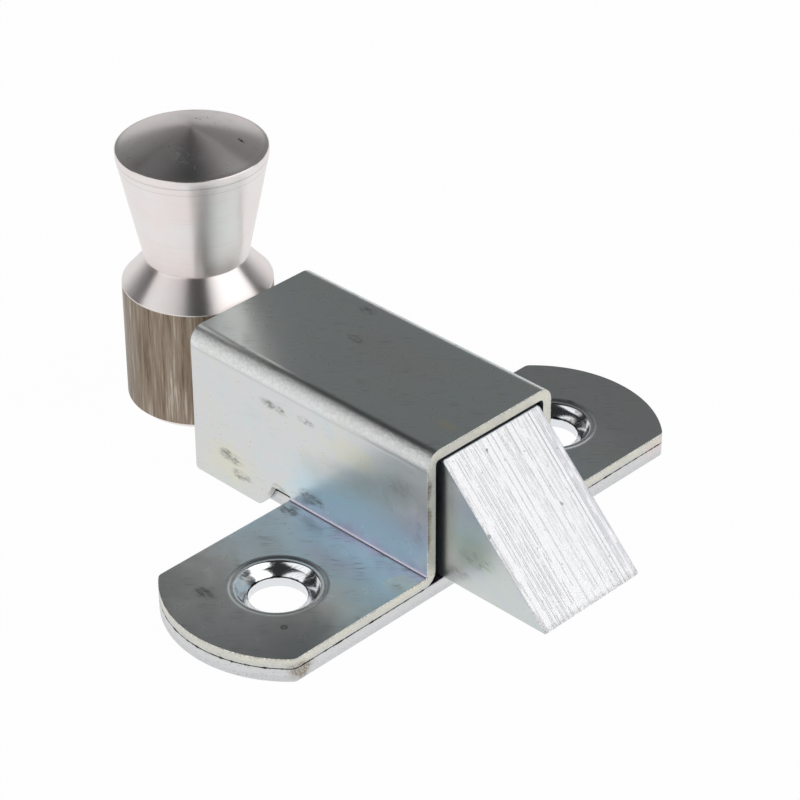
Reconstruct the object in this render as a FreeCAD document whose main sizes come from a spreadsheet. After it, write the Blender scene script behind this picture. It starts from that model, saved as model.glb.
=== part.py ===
# Spring-loaded door bolt: a square bevelled bolt slides between a base plate and a folded cover,
# pushed out by a coil spring and drawn back by an upright turned knob.
#
# Frame, in millimetres: the origin lies on the mounting face, midway between the two screw holes.
# +X is the way the bolt points, +Y runs along the screw ears and +Z points away from the door.

import FreeCAD, Part
import math
import os
import re

import Sketcher

os.makedirs("parts", exist_ok=True)
doc = FreeCAD.newDocument("door_bolt")

# Driving dimensions

SIZES = {
    # sheet metal
    "base_sheet": (1.6, "thickness of the base plate"),
    "cover_sheet": (1.2, "thickness of the cover"),
    # outline shared by the base plate and the cover's ears
    "plate_width": (19.6, "width of plate and ears, along the bolt"),
    "plate_length": (62.9, "length over the rounded ends"),
    "end_radius": (13.5, "radius of the rounded ends"),
    "corner_radius": (0.8, "radius where a rounded end meets a straight side"),
    # screw seats
    "hole_spacing": (40.4, "distance between the screw holes"),
    "screw_hole_radius": (3.0, "radius of a screw hole"),
    "seat_radius": (3.9, "radius of the countersunk seat at its mouth"),
    "seat_angle": (110, "full angle of the countersunk seat, in degrees"),
    "dish_radius": (5.2, "radius where the ear starts to sink towards a seat"),
    "lip_radius": (4.35, "radius where the sunken rim turns down into the seat"),
    "lip_depth": (0.12, "depth of that turn under the ear's top"),
    "dish_depth": (0.55, "depth of the seat's mouth under the ear's top"),
    "collar_wall": (0.9, "thickness of the drawn collar round a screw hole"),
    "collar_drop": (1.1, "depth that a collar reaches into the base plate"),
    "collar_play": (0.02, "gap between a collar and its hole in the base plate"),
    # cover
    "cover_length": (34.1, "length of the cover along the bolt"),
    "fold_radius": (1.2, "inner radius of the folds along the roof"),
    "foot_radius": (0.5, "radius in the corner between a wall and its ear"),
    "notch_length": (2.7, "length of the relief notch behind an ear"),
    "notch_rise": (0.35, "height of the relief notch above the ear's top"),
    "tail_slant": (1.8, "how far the wall behind the notch is cut back towards its foot"),
    # bolt
    "bolt_size": (14.0, "side of the square bolt"),
    "bolt_edge_radius": (0.25, "radius on the bolt's long edges"),
    "bolt_length": (24.7, "length of the bolt"),
    "bolt_reach": (13.9, "reach of the bolt's nose beyond the cover at rest"),
    "bevel_run": (13.8, "length of the bevel along the bolt"),
    "nose_flat": (0.7, "height of the blunt edge left on the nose"),
    "bolt_play_side": (0.8, "gap between the bolt and each wall of the cover"),
    "bolt_play_below": (0.3, "gap between the bolt and the base plate"),
    "bolt_play_above": (0.25, "gap between the bolt and the roof"),
    # tongue and upstand of the base plate
    "tongue_play": (0.2, "gap between the tongue and each wall of the cover"),
    "upstand_play": (0.2, "gap between the upstand and the roof"),
    "upstand_proud": (0.2, "how far the upstand stands behind the cover"),
    "bend_radius": (0.8, "inner radius of the bend at the upstand"),
    # rod
    "rod_radius": (3.0, "radius of the rod"),
    "rod_chamfer": (0.5, "chamfer on the rod's ends"),
    "rod_in_bolt": (8.5, "length of rod screwed into the bolt"),
    "rod_past_axis": (3.0, "how far the rod passes the knob's axis"),
    "rod_play": (0.1, "radial gap of the rod in the upstand"),
    "thread_play": (0.02, "radial gap in the tapped holes"),
    "tap_runout": (0.8, "depth of a tapped hole beyond the rod's end"),
    # spring
    "wire_radius": (0.4, "radius of the spring's wire"),
    "spring_radius": (4.4, "radius of the coils to the wire's middle"),
    "active_coils": (5, "number of open coils"),
    "closed_gap": (0.05, "gap between the turns of a closed end coil"),
    # knob
    "knob_radius": (8.15, "radius of the knob's foot"),
    "knob_stand": (1.8, "height of the knob above the mounting face"),
    "knob_gap": (0.3, "gap between the knob and the upstand at rest"),
    "foot_chamfer": (0.75, "chamfer round the knob's underside"),
    "foot_height": (14.4, "height of the knob's cylindrical foot"),
    "shoulder_rise": (2.8, "height of the sloping shoulder above the foot"),
    "neck_radius": (5.65, "radius of the knob's neck"),
    "groove_width": (0.4, "width of the fine groove round the neck"),
    "groove_depth": (0.25, "depth of the fine groove round the neck"),
    "head_radius": (8.1, "radius of the knob's head"),
    "head_rise": (11.9, "height of the flaring head above the groove"),
    "rim_height": (0.85, "height of the straight rim round the head"),
    "rim_ease": (0.15, "size of the eased edge round the top of the rim"),
    "crown_rise": (2.15, "height of the knob's top above the rim"),
    "crown_radius": (4.6, "radius where the top of the knob flattens"),
    "crown_flank": (1.5, "height above the rim where the top of the knob flattens"),
}

# Lengths that follow from the driving dimensions

DERIVED = {
    "half_width": "plate_width / 2",
    "half_spacing": "hole_spacing / 2",
    "ear_top": "base_sheet + cover_sheet",
    "bolt_bottom": "base_sheet + bolt_play_below",
    "rod_height": "bolt_bottom + bolt_size / 2",
    "roof_under": "bolt_bottom + bolt_size + bolt_play_above",
    "roof_top": "roof_under + cover_sheet",
    "wall_in": "bolt_size / 2 + bolt_play_side",
    "wall_out": "wall_in + cover_sheet",
    "cover_rear": "half_width - cover_length",
    "upstand_rear": "cover_rear - upstand_proud",
    "upstand_front": "upstand_rear + base_sheet",
    "bolt_rear": "half_width + bolt_reach - bolt_length",
    "knob_axis": "upstand_rear - knob_gap - knob_radius",
    "rod_rear": "knob_axis - rod_past_axis",
    "rod_front": "bolt_rear + rod_in_bolt",
    "closed_pitch": "2 * wire_radius + closed_gap",
    "spring_length": "bolt_rear - upstand_front",
    "open_pitch": "(spring_length - 2 * closed_pitch) / active_coils",
    "collar_radius": "screw_hole_radius + collar_wall",
    "seat_rise": "(seat_radius - screw_hole_radius) / tan(seat_angle / 2 * 1deg)",
    "shoulder_top": "foot_height + shoulder_rise",
    "head_bottom": "shoulder_top + groove_width",
    "head_top": "head_bottom + head_rise",
    "rim_top": "head_top + rim_height",
}

sheet = doc.addObject("Spreadsheet::Sheet", "Sizes")
for row, (name, (value, meaning)) in enumerate(SIZES.items(), start=1):
    sheet.set(f"A{row}", str(value))
    sheet.setAlias(f"A{row}", name)
    sheet.set(f"B{row}", meaning)
doc.recompute()


def tied(formula):
    """Spell a formula out in the sheet's cells, with derived lengths opened up."""

    def cell(word):
        name = word.group(0)
        if name in DERIVED:
            return f"({tied(DERIVED[name])})"
        return f"Sizes.{name}" if name in SIZES else name

    return re.sub(r"[a-z]+(?:_[a-z]+)*", cell, str(formula))


def size(formula):
    """Value of a formula in millimetres."""
    value = sheet.evalExpression(tied(formula))
    return float(getattr(value, "Value", value))


def bind(thing, **formulas):
    """Tie properties of a feature to formulas. A double underscore stands for a dot."""
    for name, formula in formulas.items():
        thing.setExpression(name.replace("__", "."), tied(formula))


# Sketches. The axes and the points of a curve go by the sketcher's own numbers.

X_AXIS_OF_SKETCH, Y_AXIS_OF_SKETCH = range(-1, -3, -1)
START, END, CENTRE = range(1, 4)


def new_body(name):
    body = doc.addObject("PartDesign::Body", name)
    body.Label = name
    return body


def origin_of(body, role):
    return next(f for f in body.Origin.OriginFeatures if f.Role == role)


def new_sketch(body, name, plane, offset=None):
    """Sketch on one of the body's own planes, moved along the plane's normal by a formula."""
    sketch = body.newObject("Sketcher::SketchObject", name)
    sketch.AttachmentSupport = [(origin_of(body, plane), "")]
    sketch.MapMode = "FlatFace"
    if offset:
        bind(sketch, AttachmentOffset__Base__z=offset)
    return sketch


def hold(sketch, kind, geometry, point, formula, label):
    """Set one coordinate of a point, across or up, to a formula."""
    if formula == "0":
        axis = Y_AXIS_OF_SKETCH if kind == "DistanceX" else X_AXIS_OF_SKETCH
        sketch.addConstraint(Sketcher.Constraint("PointOnObject", geometry, point, axis))
        return
    origin = (X_AXIS_OF_SKETCH, START)
    value = size(formula)
    rule = Sketcher.Constraint(kind, *origin, geometry, point, value)
    bind_rule(sketch, rule, formula, label)


def bind_rule(sketch, rule, formula, label):
    index = sketch.addConstraint(rule)
    sketch.renameConstraint(index, label)
    bind(sketch, **{f"Constraints__{label}": formula})


def outline(sketch, corners):
    """Closed outline through corners (across, up) or (across, up, radius).

    Runs between corners that share a formula lie level or upright. A corner with a radius
    joins an upright and a level run by a tangent arc.
    """
    count = len(corners)
    across = [c[0] for c in corners]
    up = [c[1] for c in corners]
    radius = [c[2] if len(c) > 2 else None for c in corners]
    spots = [FreeCAD.Vector(size(a), size(u), 0) for a, u in zip(across, up)]
    ends = []
    for i in range(count):
        before = (spots[i] - spots[i - 1]).normalize()
        after = (spots[(i + 1) % count] - spots[i]).normalize()
        trim = size(radius[i]) if radius[i] else 0
        ends.append((spots[i] - before * trim, spots[i] + after * trim))
    runs = []
    for i in range(count):
        j = (i + 1) % count
        runs.append(sketch.addGeometry(Part.LineSegment(ends[i][1], ends[j][0])))
        if across[i] == across[j]:
            sketch.addConstraint(Sketcher.Constraint("Vertical", runs[i]))
            hold(sketch, "DistanceX", runs[i], START, across[i], f"across_{i}")
        if up[i] == up[j]:
            sketch.addConstraint(Sketcher.Constraint("Horizontal", runs[i]))
            hold(sketch, "DistanceY", runs[i], START, up[i], f"up_{i}")
    for i in range(count):
        if radius[i]:
            round_corner(sketch, runs[i - 1], runs[i], ends[i], radius[i], f"round_{i}")
            continue
        sketch.addConstraint(Sketcher.Constraint("Coincident", runs[i - 1], END, runs[i], START))
        neighbours = (i - 1, (i + 1) % count)
        if all(across[i] != across[n] for n in neighbours):
            hold(sketch, "DistanceX", runs[i], START, across[i], f"at_across_{i}")
        if all(up[i] != up[n] for n in neighbours):
            hold(sketch, "DistanceY", runs[i], START, up[i], f"at_up_{i}")
    return runs


def round_corner(sketch, run_in, run_out, ends, radius, label):
    """Arc tangent to two runs at right angles, which end where it starts and stops."""
    first, last = ends
    line_in = sketch.Geometry[run_in]
    line_out = sketch.Geometry[run_out]
    way_in = (line_in.EndPoint - line_in.StartPoint).normalize()
    way_out = (line_out.EndPoint - line_out.StartPoint).normalize()
    centre = first + way_out * size(radius)
    turns_left = way_in.cross(way_out).z > 0
    begin, stop = (first, last) if turns_left else (last, first)
    angles = [math.atan2(p.y - centre.y, p.x - centre.x) for p in (begin, stop)]
    circle = Part.Circle(centre, FreeCAD.Vector(0, 0, 1), size(radius))
    arc = sketch.addGeometry(Part.ArcOfCircle(circle, *angles))
    near, far = (START, END) if turns_left else (END, START)
    sketch.addConstraint(Sketcher.Constraint("Tangent", run_in, END, arc, near))
    sketch.addConstraint(Sketcher.Constraint("Tangent", arc, far, run_out, START))
    bind_rule(sketch, Sketcher.Constraint("Radius", arc, size(radius)), radius, label)


def circle(sketch, across, up, radius, label="circle"):
    middle = FreeCAD.Vector(size(across), size(up), 0)
    ring = sketch.addGeometry(Part.Circle(middle, FreeCAD.Vector(0, 0, 1), size(radius)))
    hold(sketch, "DistanceX", ring, CENTRE, across, f"{label}_across")
    hold(sketch, "DistanceY", ring, CENTRE, up, f"{label}_up")
    bind_rule(sketch, Sketcher.Constraint("Radius", ring, size(radius)), radius, f"{label}_radius")


def plate_outline(sketch):
    """Plan of the base plate and the ears: straight sides, bowed ends and small corner radii."""
    width, bow, corner = size("half_width"), size("end_radius"), size("corner_radius")
    bow_centre = size("plate_length / 2") - bow
    corner_x = width - corner
    corner_y = bow_centre + math.sqrt((bow - corner) ** 2 - corner_x**2)
    lean = math.atan2(corner_y - bow_centre, corner_x)
    normal = FreeCAD.Vector(0, 0, 1)
    sides = {}
    for side in (1, -1):
        low = FreeCAD.Vector(side * width, -side * corner_y, 0)
        high = FreeCAD.Vector(side * width, side * corner_y, 0)
        sides[side] = sketch.addGeometry(Part.LineSegment(low, high))
        sketch.addConstraint(Sketcher.Constraint("Vertical", sides[side]))
        label = "right" if side > 0 else "left"
        hold(sketch, "DistanceX", sides[side], START, f"{side} * half_width", f"{label}_side")
    for end in (1, -1):
        turn = 0 if end > 0 else math.pi
        label = "far" if end > 0 else "near"
        middle = FreeCAD.Vector(0, end * bow_centre, 0)
        sweep = (lean + turn, math.pi - lean + turn)
        bowed = sketch.addGeometry(Part.ArcOfCircle(Part.Circle(middle, normal, bow), *sweep))
        bow_rule = Sketcher.Constraint("Radius", bowed, bow)
        bind_rule(sketch, bow_rule, "end_radius", f"{label}_bow")
        place = f"{end} * (plate_length / 2 - end_radius)"
        hold(sketch, "DistanceX", bowed, CENTRE, "0", f"{label}_bow_across")
        hold(sketch, "DistanceY", bowed, CENTRE, place, f"{label}_bow_up")
        for side, first, last in ((end, 0, lean), (-end, math.pi - lean, math.pi)):
            middle = FreeCAD.Vector(side * corner_x, end * corner_y, 0)
            ring = Part.Circle(middle, normal, corner)
            arc = sketch.addGeometry(Part.ArcOfCircle(ring, first + turn, last + turn))
            starts_on_side = first == 0
            on_side = START if starts_on_side else END
            on_bow = END if starts_on_side else START
            side_end = END if starts_on_side else START
            bow_end = START if starts_on_side else END
            join = Sketcher.Constraint("Tangent", sides[side], side_end, arc, on_side)
            sketch.addConstraint(join)
            sketch.addConstraint(Sketcher.Constraint("Tangent", arc, on_bow, bowed, bow_end))
            name = f"{label}_corner_{'first' if starts_on_side else 'last'}"
            bind_rule(sketch, Sketcher.Constraint("Radius", arc, corner), "corner_radius", name)


# Features. Levels that differ by less than this are alike.

ALIKE = 1e-6


def feature(body, kind, name, sketch, **settings):
    """Sketch-based feature. Its length is a formula tied to the sheet, other settings are set."""
    made = body.newObject(f"PartDesign::{kind}", name)
    made.Profile = sketch
    for key, value in settings.items():
        if key == "Length":
            bind(made, Length=value)
        else:
            setattr(made, key, value)
    sketch.Visibility = False
    return made


def mirror(body, name, originals):
    """Repeat features on the far side of the plane through the bolt's axis."""
    made = body.newObject("PartDesign::Mirrored", name)
    made.Originals = originals
    made.MirrorPlane = (origin_of(body, "XZ_Plane"), [""])
    body.Tip = made
    return made


def rounded(body, name, tip, radius, wanted):
    """Fillet on the edges of the tip that a test picks by their boxes."""
    doc.recompute()
    edges = [f"Edge{i}" for i, e in enumerate(tip.Shape.Edges, start=1) if wanted(e.BoundBox)]
    made = body.newObject("PartDesign::Fillet", name)
    made.Base = (tip, edges)
    bind(made, Radius=radius)
    body.Tip = made
    return made


def shrinks(body, feature_made, before):
    """A cut must take something away."""
    doc.recompute()
    if not body.Shape.Volume < before.Shape.Volume:
        raise RuntimeError(f"{feature_made.Name} removes nothing")


# Folded cover


def make_cover():
    """Roof, walls and ears folded from one sheet, with collars drawn into the base plate."""
    body = new_body("housing_cover")

    section = new_sketch(body, "hat_section", "YZ_Plane")
    ear_end = "plate_length / 2"
    outer_foot = "foot_radius + cover_sheet"
    outer_fold = "fold_radius + cover_sheet"
    outline(
        section,
        [
            (f"-1 * {ear_end}", "base_sheet"),
            ("-1 * wall_in", "base_sheet", outer_foot),
            ("-1 * wall_in", "roof_under", "fold_radius"),
            ("wall_in", "roof_under", "fold_radius"),
            ("wall_in", "base_sheet", outer_foot),
            (ear_end, "base_sheet"),
            (ear_end, "ear_top"),
            ("wall_out", "ear_top", "foot_radius"),
            ("wall_out", "roof_top", outer_fold),
            ("-1 * wall_out", "roof_top", outer_fold),
            ("-1 * wall_out", "ear_top", "foot_radius"),
            (f"-1 * {ear_end}", "ear_top"),
        ],
    )
    hat = feature(body, "Pad", "hat", section, SideType="Symmetric", Length="plate_width")

    ends = new_sketch(body, "ear_ends", "XY_Plane")
    plate_outline(ends)
    beyond = "plate_length / 2 + plate_width"
    outline(
        ends,
        [
            ("-1 * plate_width", f"-1 * ({beyond})"),
            ("plate_width", f"-1 * ({beyond})"),
            ("plate_width", beyond),
            ("-1 * plate_width", beyond),
        ],
    )
    trim = feature(body, "Pocket", "ear_trim", ends, Type="ThroughAll", SideType="Symmetric")
    shrinks(body, trim, hat)

    tail = new_sketch(body, "channel_section", "YZ_Plane", "-1 * half_width")
    outline(
        tail,
        [
            ("-1 * wall_out", "0"),
            ("-1 * wall_in", "0"),
            ("-1 * wall_in", "roof_under", "fold_radius"),
            ("wall_in", "roof_under", "fold_radius"),
            ("wall_in", "0"),
            ("wall_out", "0"),
            ("wall_out", "roof_top", outer_fold),
            ("-1 * wall_out", "roof_top", outer_fold),
        ],
    )
    tail_length = "cover_length - plate_width"
    channel = feature(body, "Pad", "channel", tail, Length=tail_length, Reversed=True)

    side = new_sketch(body, "notch_outline", "XZ_Plane")
    notch_rear = "-1 * half_width - notch_length"
    notch_top = "ear_top + notch_rise"
    tail_front = f"{notch_rear} - tail_slant"
    below = "-1 * base_sheet"
    outline(
        side,
        [
            ("-1 * half_width", below),
            ("-1 * half_width", notch_top),
            (notch_rear, notch_top),
            (tail_front, "0"),
            (tail_front, below),
        ],
    )
    notch = feature(body, "Pocket", "notch", side, Type="ThroughAll", SideType="Symmetric")
    shrinks(body, notch, channel)

    boss = new_sketch(body, "collar_section", "XZ_Plane", "-1 * half_spacing")
    collar_bottom = "base_sheet - collar_drop"
    inside_ear = "base_sheet + cover_sheet / 2"
    outline(
        boss,
        [
            ("0", collar_bottom),
            ("collar_radius", collar_bottom),
            ("collar_radius", inside_ear),
            ("0", inside_ear),
        ],
    )
    collar = feature(body, "Revolution", "collar", boss, ReferenceAxis=(boss, ["V_Axis"]))

    seat = new_sketch(body, "seat_section", "XZ_Plane", "-1 * half_spacing")
    mouth = "ear_top - dish_depth"
    above = "ear_top + cover_sheet"
    under = f"{collar_bottom} - cover_sheet"
    outline(
        seat,
        [
            ("0", under),
            ("screw_hole_radius", under),
            ("screw_hole_radius", f"{mouth} - seat_rise"),
            ("seat_radius", mouth),
            ("lip_radius", "ear_top - lip_depth"),
            ("dish_radius", "ear_top"),
            ("dish_radius", above),
            ("0", above),
        ],
    )
    sink = feature(body, "Groove", "seat", seat, ReferenceAxis=(seat, ["V_Axis"]))
    shrinks(body, sink, collar)
    mirror(body, "far_seat", [collar, sink])
    return body


# Base plate


def make_base_plate():
    """Plate under the ears, with a tongue between the cover's walls that is bent up at its end."""
    body = new_body("base_plate")

    plan = new_sketch(body, "plate_plan", "XY_Plane")
    plate_outline(plan)
    feature(body, "Pad", "plate", plan, Length="base_sheet")

    profile = new_sketch(body, "tongue_profile", "XZ_Plane")
    upstand_top = "roof_under - upstand_play"
    outline(
        profile,
        [
            ("0", "0"),
            ("0", "base_sheet"),
            ("upstand_front", "base_sheet", "bend_radius"),
            ("upstand_front", upstand_top),
            ("upstand_rear", upstand_top),
            ("upstand_rear", "0", "bend_radius + base_sheet"),
        ],
    )
    tongue_width = "2 * (wall_in - tongue_play)"
    tongue = feature(body, "Pad", "tongue", profile, SideType="Symmetric", Length=tongue_width)

    top = size(upstand_top)
    corners = rounded(
        body,
        "upstand_corners",
        tongue,
        "fold_radius + upstand_play",
        lambda box: box.YLength < ALIKE and box.ZLength < ALIKE and abs(box.ZMax - top) < ALIKE,
    )

    mouth = new_sketch(body, "rod_hole_section", "YZ_Plane")
    circle(mouth, "0", "rod_height", "rod_radius + rod_play")
    rod_hole = feature(body, "Pocket", "rod_hole", mouth, Type="ThroughAll")
    shrinks(body, rod_hole, corners)

    round_hole = new_sketch(body, "collar_hole_plan", "XY_Plane")
    circle(round_hole, "0", "half_spacing", "collar_radius + collar_play")
    hole = feature(body, "Pocket", "collar_hole", round_hole, Type="ThroughAll", Reversed=True)
    shrinks(body, hole, rod_hole)
    mirror(body, "near_collar_hole", [hole])
    return body


# Sliding bolt


def make_bolt():
    """Square bar, drawn with its rear face at its own origin, bevelled at the nose."""
    body = new_body("latch_bolt")

    section = new_sketch(body, "bar_section", "YZ_Plane")
    half = "bolt_size / 2"
    low = "-1 * bolt_size / 2"
    corners = [(low, low), (half, low), (half, half), (low, half)]
    outline(section, [(*c, "bolt_edge_radius") for c in corners])
    bar = feature(body, "Pad", "bar", section, Length="bolt_length")

    wedge = new_sketch(body, "bevel_outline", "XZ_Plane")
    bevel_start = "bolt_length - bevel_run"
    beyond = "bolt_length + nose_flat"
    above = "bolt_size / 2 + nose_flat"
    outline(
        wedge,
        [
            (bevel_start, half),
            ("bolt_length", f"{low} + nose_flat"),
            (beyond, f"{low} + nose_flat"),
            (beyond, above),
            (bevel_start, above),
        ],
    )
    bevel = feature(body, "Pocket", "bevel", wedge, Type="ThroughAll", SideType="Symmetric")
    shrinks(body, bevel, bar)

    rear = new_sketch(body, "rear_hole_section", "YZ_Plane")
    circle(rear, "0", "0", "rod_radius + thread_play")
    depth = "rod_in_bolt + tap_runout"
    tapped = feature(body, "Pocket", "rear_hole", rear, Length=depth, Reversed=True)
    shrinks(body, tapped, bevel)

    bind(body, Placement__Base__x="bolt_rear", Placement__Base__z="rod_height")
    return body


# Rod


def make_rod():
    """Round rod along the bolt's axis, drawn with its rear end at its own origin."""
    body = new_body("bolt_rod")
    section = new_sketch(body, "rod_section", "XZ_Plane")
    length = "rod_front - rod_rear"
    tip = "rod_radius - rod_chamfer"
    outline(
        section,
        [
            ("0", "0"),
            (length, "0"),
            (length, tip),
            (f"{length} - rod_chamfer", "rod_radius"),
            ("rod_chamfer", "rod_radius"),
            ("0", tip),
        ],
    )
    feature(body, "Revolution", "rod", section, ReferenceAxis=(section, ["H_Axis"]))
    bind(body, Placement__Base__x="rod_rear", Placement__Base__z="rod_height")
    return body


# Return spring

HALF_TURN = 180


def wire_outline(sketch, across, up):
    """Six-sided section of the wire, with flats at the wire's radius that face along the spring."""
    front, rear = f"{across} + wire_radius", f"{across} - wire_radius"
    edge, corner = "wire_radius * tan(30deg)", "wire_radius / cos(30deg)"
    outline(
        sketch,
        [
            (across, f"{up} - {corner}"),
            (front, f"{up} - {edge}"),
            (front, f"{up} + {edge}"),
            (across, f"{up} + {corner}"),
            (rear, f"{up} + {edge}"),
            (rear, f"{up} - {edge}"),
        ],
    )


def half_coil(body, name, start, top, rise):
    """Half a turn of wire from one side of the axis to the other, as a ring tilted by its rise.

    Every half ring begins and ends square to the axis, so the next one carries on smoothly.
    """
    section = new_sketch(body, f"{name}_section", "XZ_Plane")
    side = "1" if top else "-1"
    middle = f"{start} + ({rise}) / 2"
    wire_outline(section, start, f"{side} * spring_radius")
    foot = FreeCAD.Vector(size(middle), 0, 0)
    tip = foot + FreeCAD.Vector(size("spring_radius"), size(f"{side} * ({rise}) / 2"), 0)
    axis = section.addGeometry(Part.LineSegment(foot, tip))
    section.toggleConstruction(axis)
    hold(section, "DistanceX", axis, START, middle, "axis_foot")
    hold(section, "DistanceY", axis, START, "0", "axis_level")
    hold(section, "DistanceX", axis, END, f"{middle} + spring_radius", "axis_tip_across")
    hold(section, "DistanceY", axis, END, f"{side} * ({rise}) / 2", "axis_tip_up")
    ring_axis = (section, ["Axis0"])
    choices = {"ReferenceAxis": ring_axis, "Angle": HALF_TURN, "Refine": False}
    return feature(body, "Revolution", name, section, **choices)


def make_spring():
    """Compression spring with closed, ground ends, drawn with its rear end at its own origin."""
    body = new_body("return_spring")
    closed, opened = "closed_pitch / 2", "open_pitch / 2"
    half_coil(body, "rear_coil_first_half", "0", True, closed)
    half_coil(body, "rear_coil_second_half", closed, False, closed)
    first = half_coil(body, "open_coil_first_half", "closed_pitch", True, opened)
    second = half_coil(body, "open_coil_second_half", f"closed_pitch + {opened}", False, opened)
    coils = body.newObject("PartDesign::LinearPattern", "open_coils")
    coils.Originals = [first, second]
    coils.Direction = (origin_of(body, "X_Axis"), [""])
    coils.Refine = False
    bind(coils, Length="open_pitch * (active_coils - 1)", Occurrences="active_coils")
    body.Tip = coils
    last_coil = "spring_length - closed_pitch"
    half_coil(body, "front_coil_first_half", last_coil, True, closed)
    before = half_coil(body, "front_coil_second_half", f"{last_coil} + {closed}", False, closed)
    for name, place, backwards in (("rear_grind", "0", False), ("front_grind", "spring_length", True)):
        disc = new_sketch(body, f"{name}_plane", "YZ_Plane", place)
        circle(disc, "0", "0", "spring_radius + 2 * wire_radius")
        ground = feature(body, "Pocket", name, disc, Length="2 * wire_radius", Reversed=backwards)
        shrinks(body, ground, before)
        before = ground
    bind(body, Placement__Base__x="upstand_front", Placement__Base__z="rod_height")
    return body


# Pull knob


def make_knob():
    """Knob turned from round bar, drawn standing on its own origin, with a blind cross hole."""
    body = new_body("pull_knob")
    section = new_sketch(body, "knob_section", "XZ_Plane")
    outline(
        section,
        [
            ("0", "0"),
            ("knob_radius - foot_chamfer", "0"),
            ("knob_radius", "foot_chamfer"),
            ("knob_radius", "foot_height"),
            ("neck_radius", "shoulder_top"),
            ("neck_radius - groove_depth", "shoulder_top + groove_width / 2"),
            ("neck_radius", "head_bottom"),
            ("head_radius", "head_top"),
            ("head_radius", "rim_top - rim_ease"),
            ("head_radius - rim_ease", "rim_top"),
            ("crown_radius", "rim_top + crown_flank"),
            ("0", "rim_top + crown_rise"),
        ],
    )
    turned = feature(body, "Revolution", "turned", section, ReferenceAxis=(section, ["V_Axis"]))

    front = new_sketch(body, "cross_hole_section", "YZ_Plane", "knob_radius")
    circle(front, "0", "rod_height - knob_stand", "rod_radius + thread_play")
    depth = "knob_radius + rod_past_axis + tap_runout"
    cross_hole = feature(body, "Pocket", "cross_hole", front, Length=depth)
    shrinks(body, cross_hole, turned)

    bind(body, Placement__Base__x="knob_axis", Placement__Base__z="knob_stand")
    return body


# Build, check and write

pieces = [
    make_cover(),
    make_base_plate(),
    make_bolt(),
    make_rod(),
    make_spring(),
    make_knob(),
]
doc.recompute()

for thing in doc.Objects:
    if {"Invalid", "Error"} & set(thing.State):
        raise RuntimeError(f"{thing.Name} failed: {thing.State}")
for piece in pieces:
    if piece.Shape.isNull() or not piece.Shape.isValid() or len(piece.Shape.Solids) != 1:
        raise RuntimeError(f"{piece.Label} is not one sound solid")
for piece in pieces:
    piece.Shape.exportStep(f"parts/{piece.Label}.step")
    print(piece.Label, round(piece.Shape.Volume, 2), piece.Shape.BoundBox)
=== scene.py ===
"""Spring-loaded door bolt: the finished pieces, modelled round the packed frame, in metres.

The frame has its origin on the mounting face between the two screw holes. +X is the way the
bolt points, +Y runs along the screw ears and +Z points away from the door.
"""

import math

import bmesh
import bpy
from bpy.props import FloatProperty, FloatVectorProperty, IntProperty, PointerProperty
from bpy.types import Operator, Panel, PropertyGroup
from mathutils import Matrix, Vector


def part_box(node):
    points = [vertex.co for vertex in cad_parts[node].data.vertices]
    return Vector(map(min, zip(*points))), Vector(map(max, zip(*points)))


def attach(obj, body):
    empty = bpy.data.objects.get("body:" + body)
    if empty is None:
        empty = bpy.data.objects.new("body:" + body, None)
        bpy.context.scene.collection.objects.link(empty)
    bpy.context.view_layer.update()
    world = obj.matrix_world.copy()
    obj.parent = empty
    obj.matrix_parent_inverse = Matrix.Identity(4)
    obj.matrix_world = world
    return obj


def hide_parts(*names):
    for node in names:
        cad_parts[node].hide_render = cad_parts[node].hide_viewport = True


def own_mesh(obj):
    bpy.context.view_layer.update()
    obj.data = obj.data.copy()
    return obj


bl_info = {
    "name": "Spring door bolt",
    "version": (1, 0, 0),
    "blender": (4, 5, 0),
    "location": "3D View > Sidebar > Door Bolt",
    "description": "Models and finishes the pieces of a spring-loaded door bolt",
    "category": "Object",
}

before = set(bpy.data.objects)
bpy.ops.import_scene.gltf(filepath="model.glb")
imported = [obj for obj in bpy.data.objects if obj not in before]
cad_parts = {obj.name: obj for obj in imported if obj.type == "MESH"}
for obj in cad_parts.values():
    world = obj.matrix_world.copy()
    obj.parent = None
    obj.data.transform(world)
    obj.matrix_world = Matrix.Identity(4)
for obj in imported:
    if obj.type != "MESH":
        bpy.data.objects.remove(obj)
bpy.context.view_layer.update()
COVER_LOW, COVER_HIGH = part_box("housing_cover")
PLATE_LOW, PLATE_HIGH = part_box("base_plate")
BOLT_LOW, BOLT_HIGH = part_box("latch_bolt")
ROD_LOW, ROD_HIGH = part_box("bolt_rod")
SPRING_LOW, SPRING_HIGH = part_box("return_spring")
KNOB_LOW, KNOB_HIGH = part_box("pull_knob")
ROD_HEIGHT = (BOLT_LOW.z + BOLT_HIGH.z) / 2
KNOB_AXIS = (KNOB_LOW.x + KNOB_HIGH.x) / 2
MM = 0.001

# Distance within which two places count as one, and the play of a piece in its hole
NEAR = 1e-6
PLAY = 0.02 * MM

# Corners round the knob, round the seats and collars, and round the rod and its holes
KNOB_CORNERS, SEAT_CORNERS, ROD_CORNERS = 128, 96, 64

# Turn that lays an upright piece along X
ALONG_X = (0, math.pi / 2, 0)

# Colour of the painted shade in the joint between the sheets
SEAM_SHADE = (0.035, 0.033, 0.03)


# Sizes and colours that a user would change


def length(name, description, default):
    """Length in the scene's metres."""
    return FloatProperty(
        name=name, description=description, default=default, min=0.0,
        subtype="DISTANCE", unit="LENGTH", precision=5,
    )


def angle(name, description, degrees):
    return FloatProperty(
        name=name, description=description, default=math.radians(degrees), subtype="ANGLE"
    )


def colour(name, description, default):
    return FloatVectorProperty(
        name=name, description=description, default=default, min=0.0, max=1.0, subtype="COLOR"
    )


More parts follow.
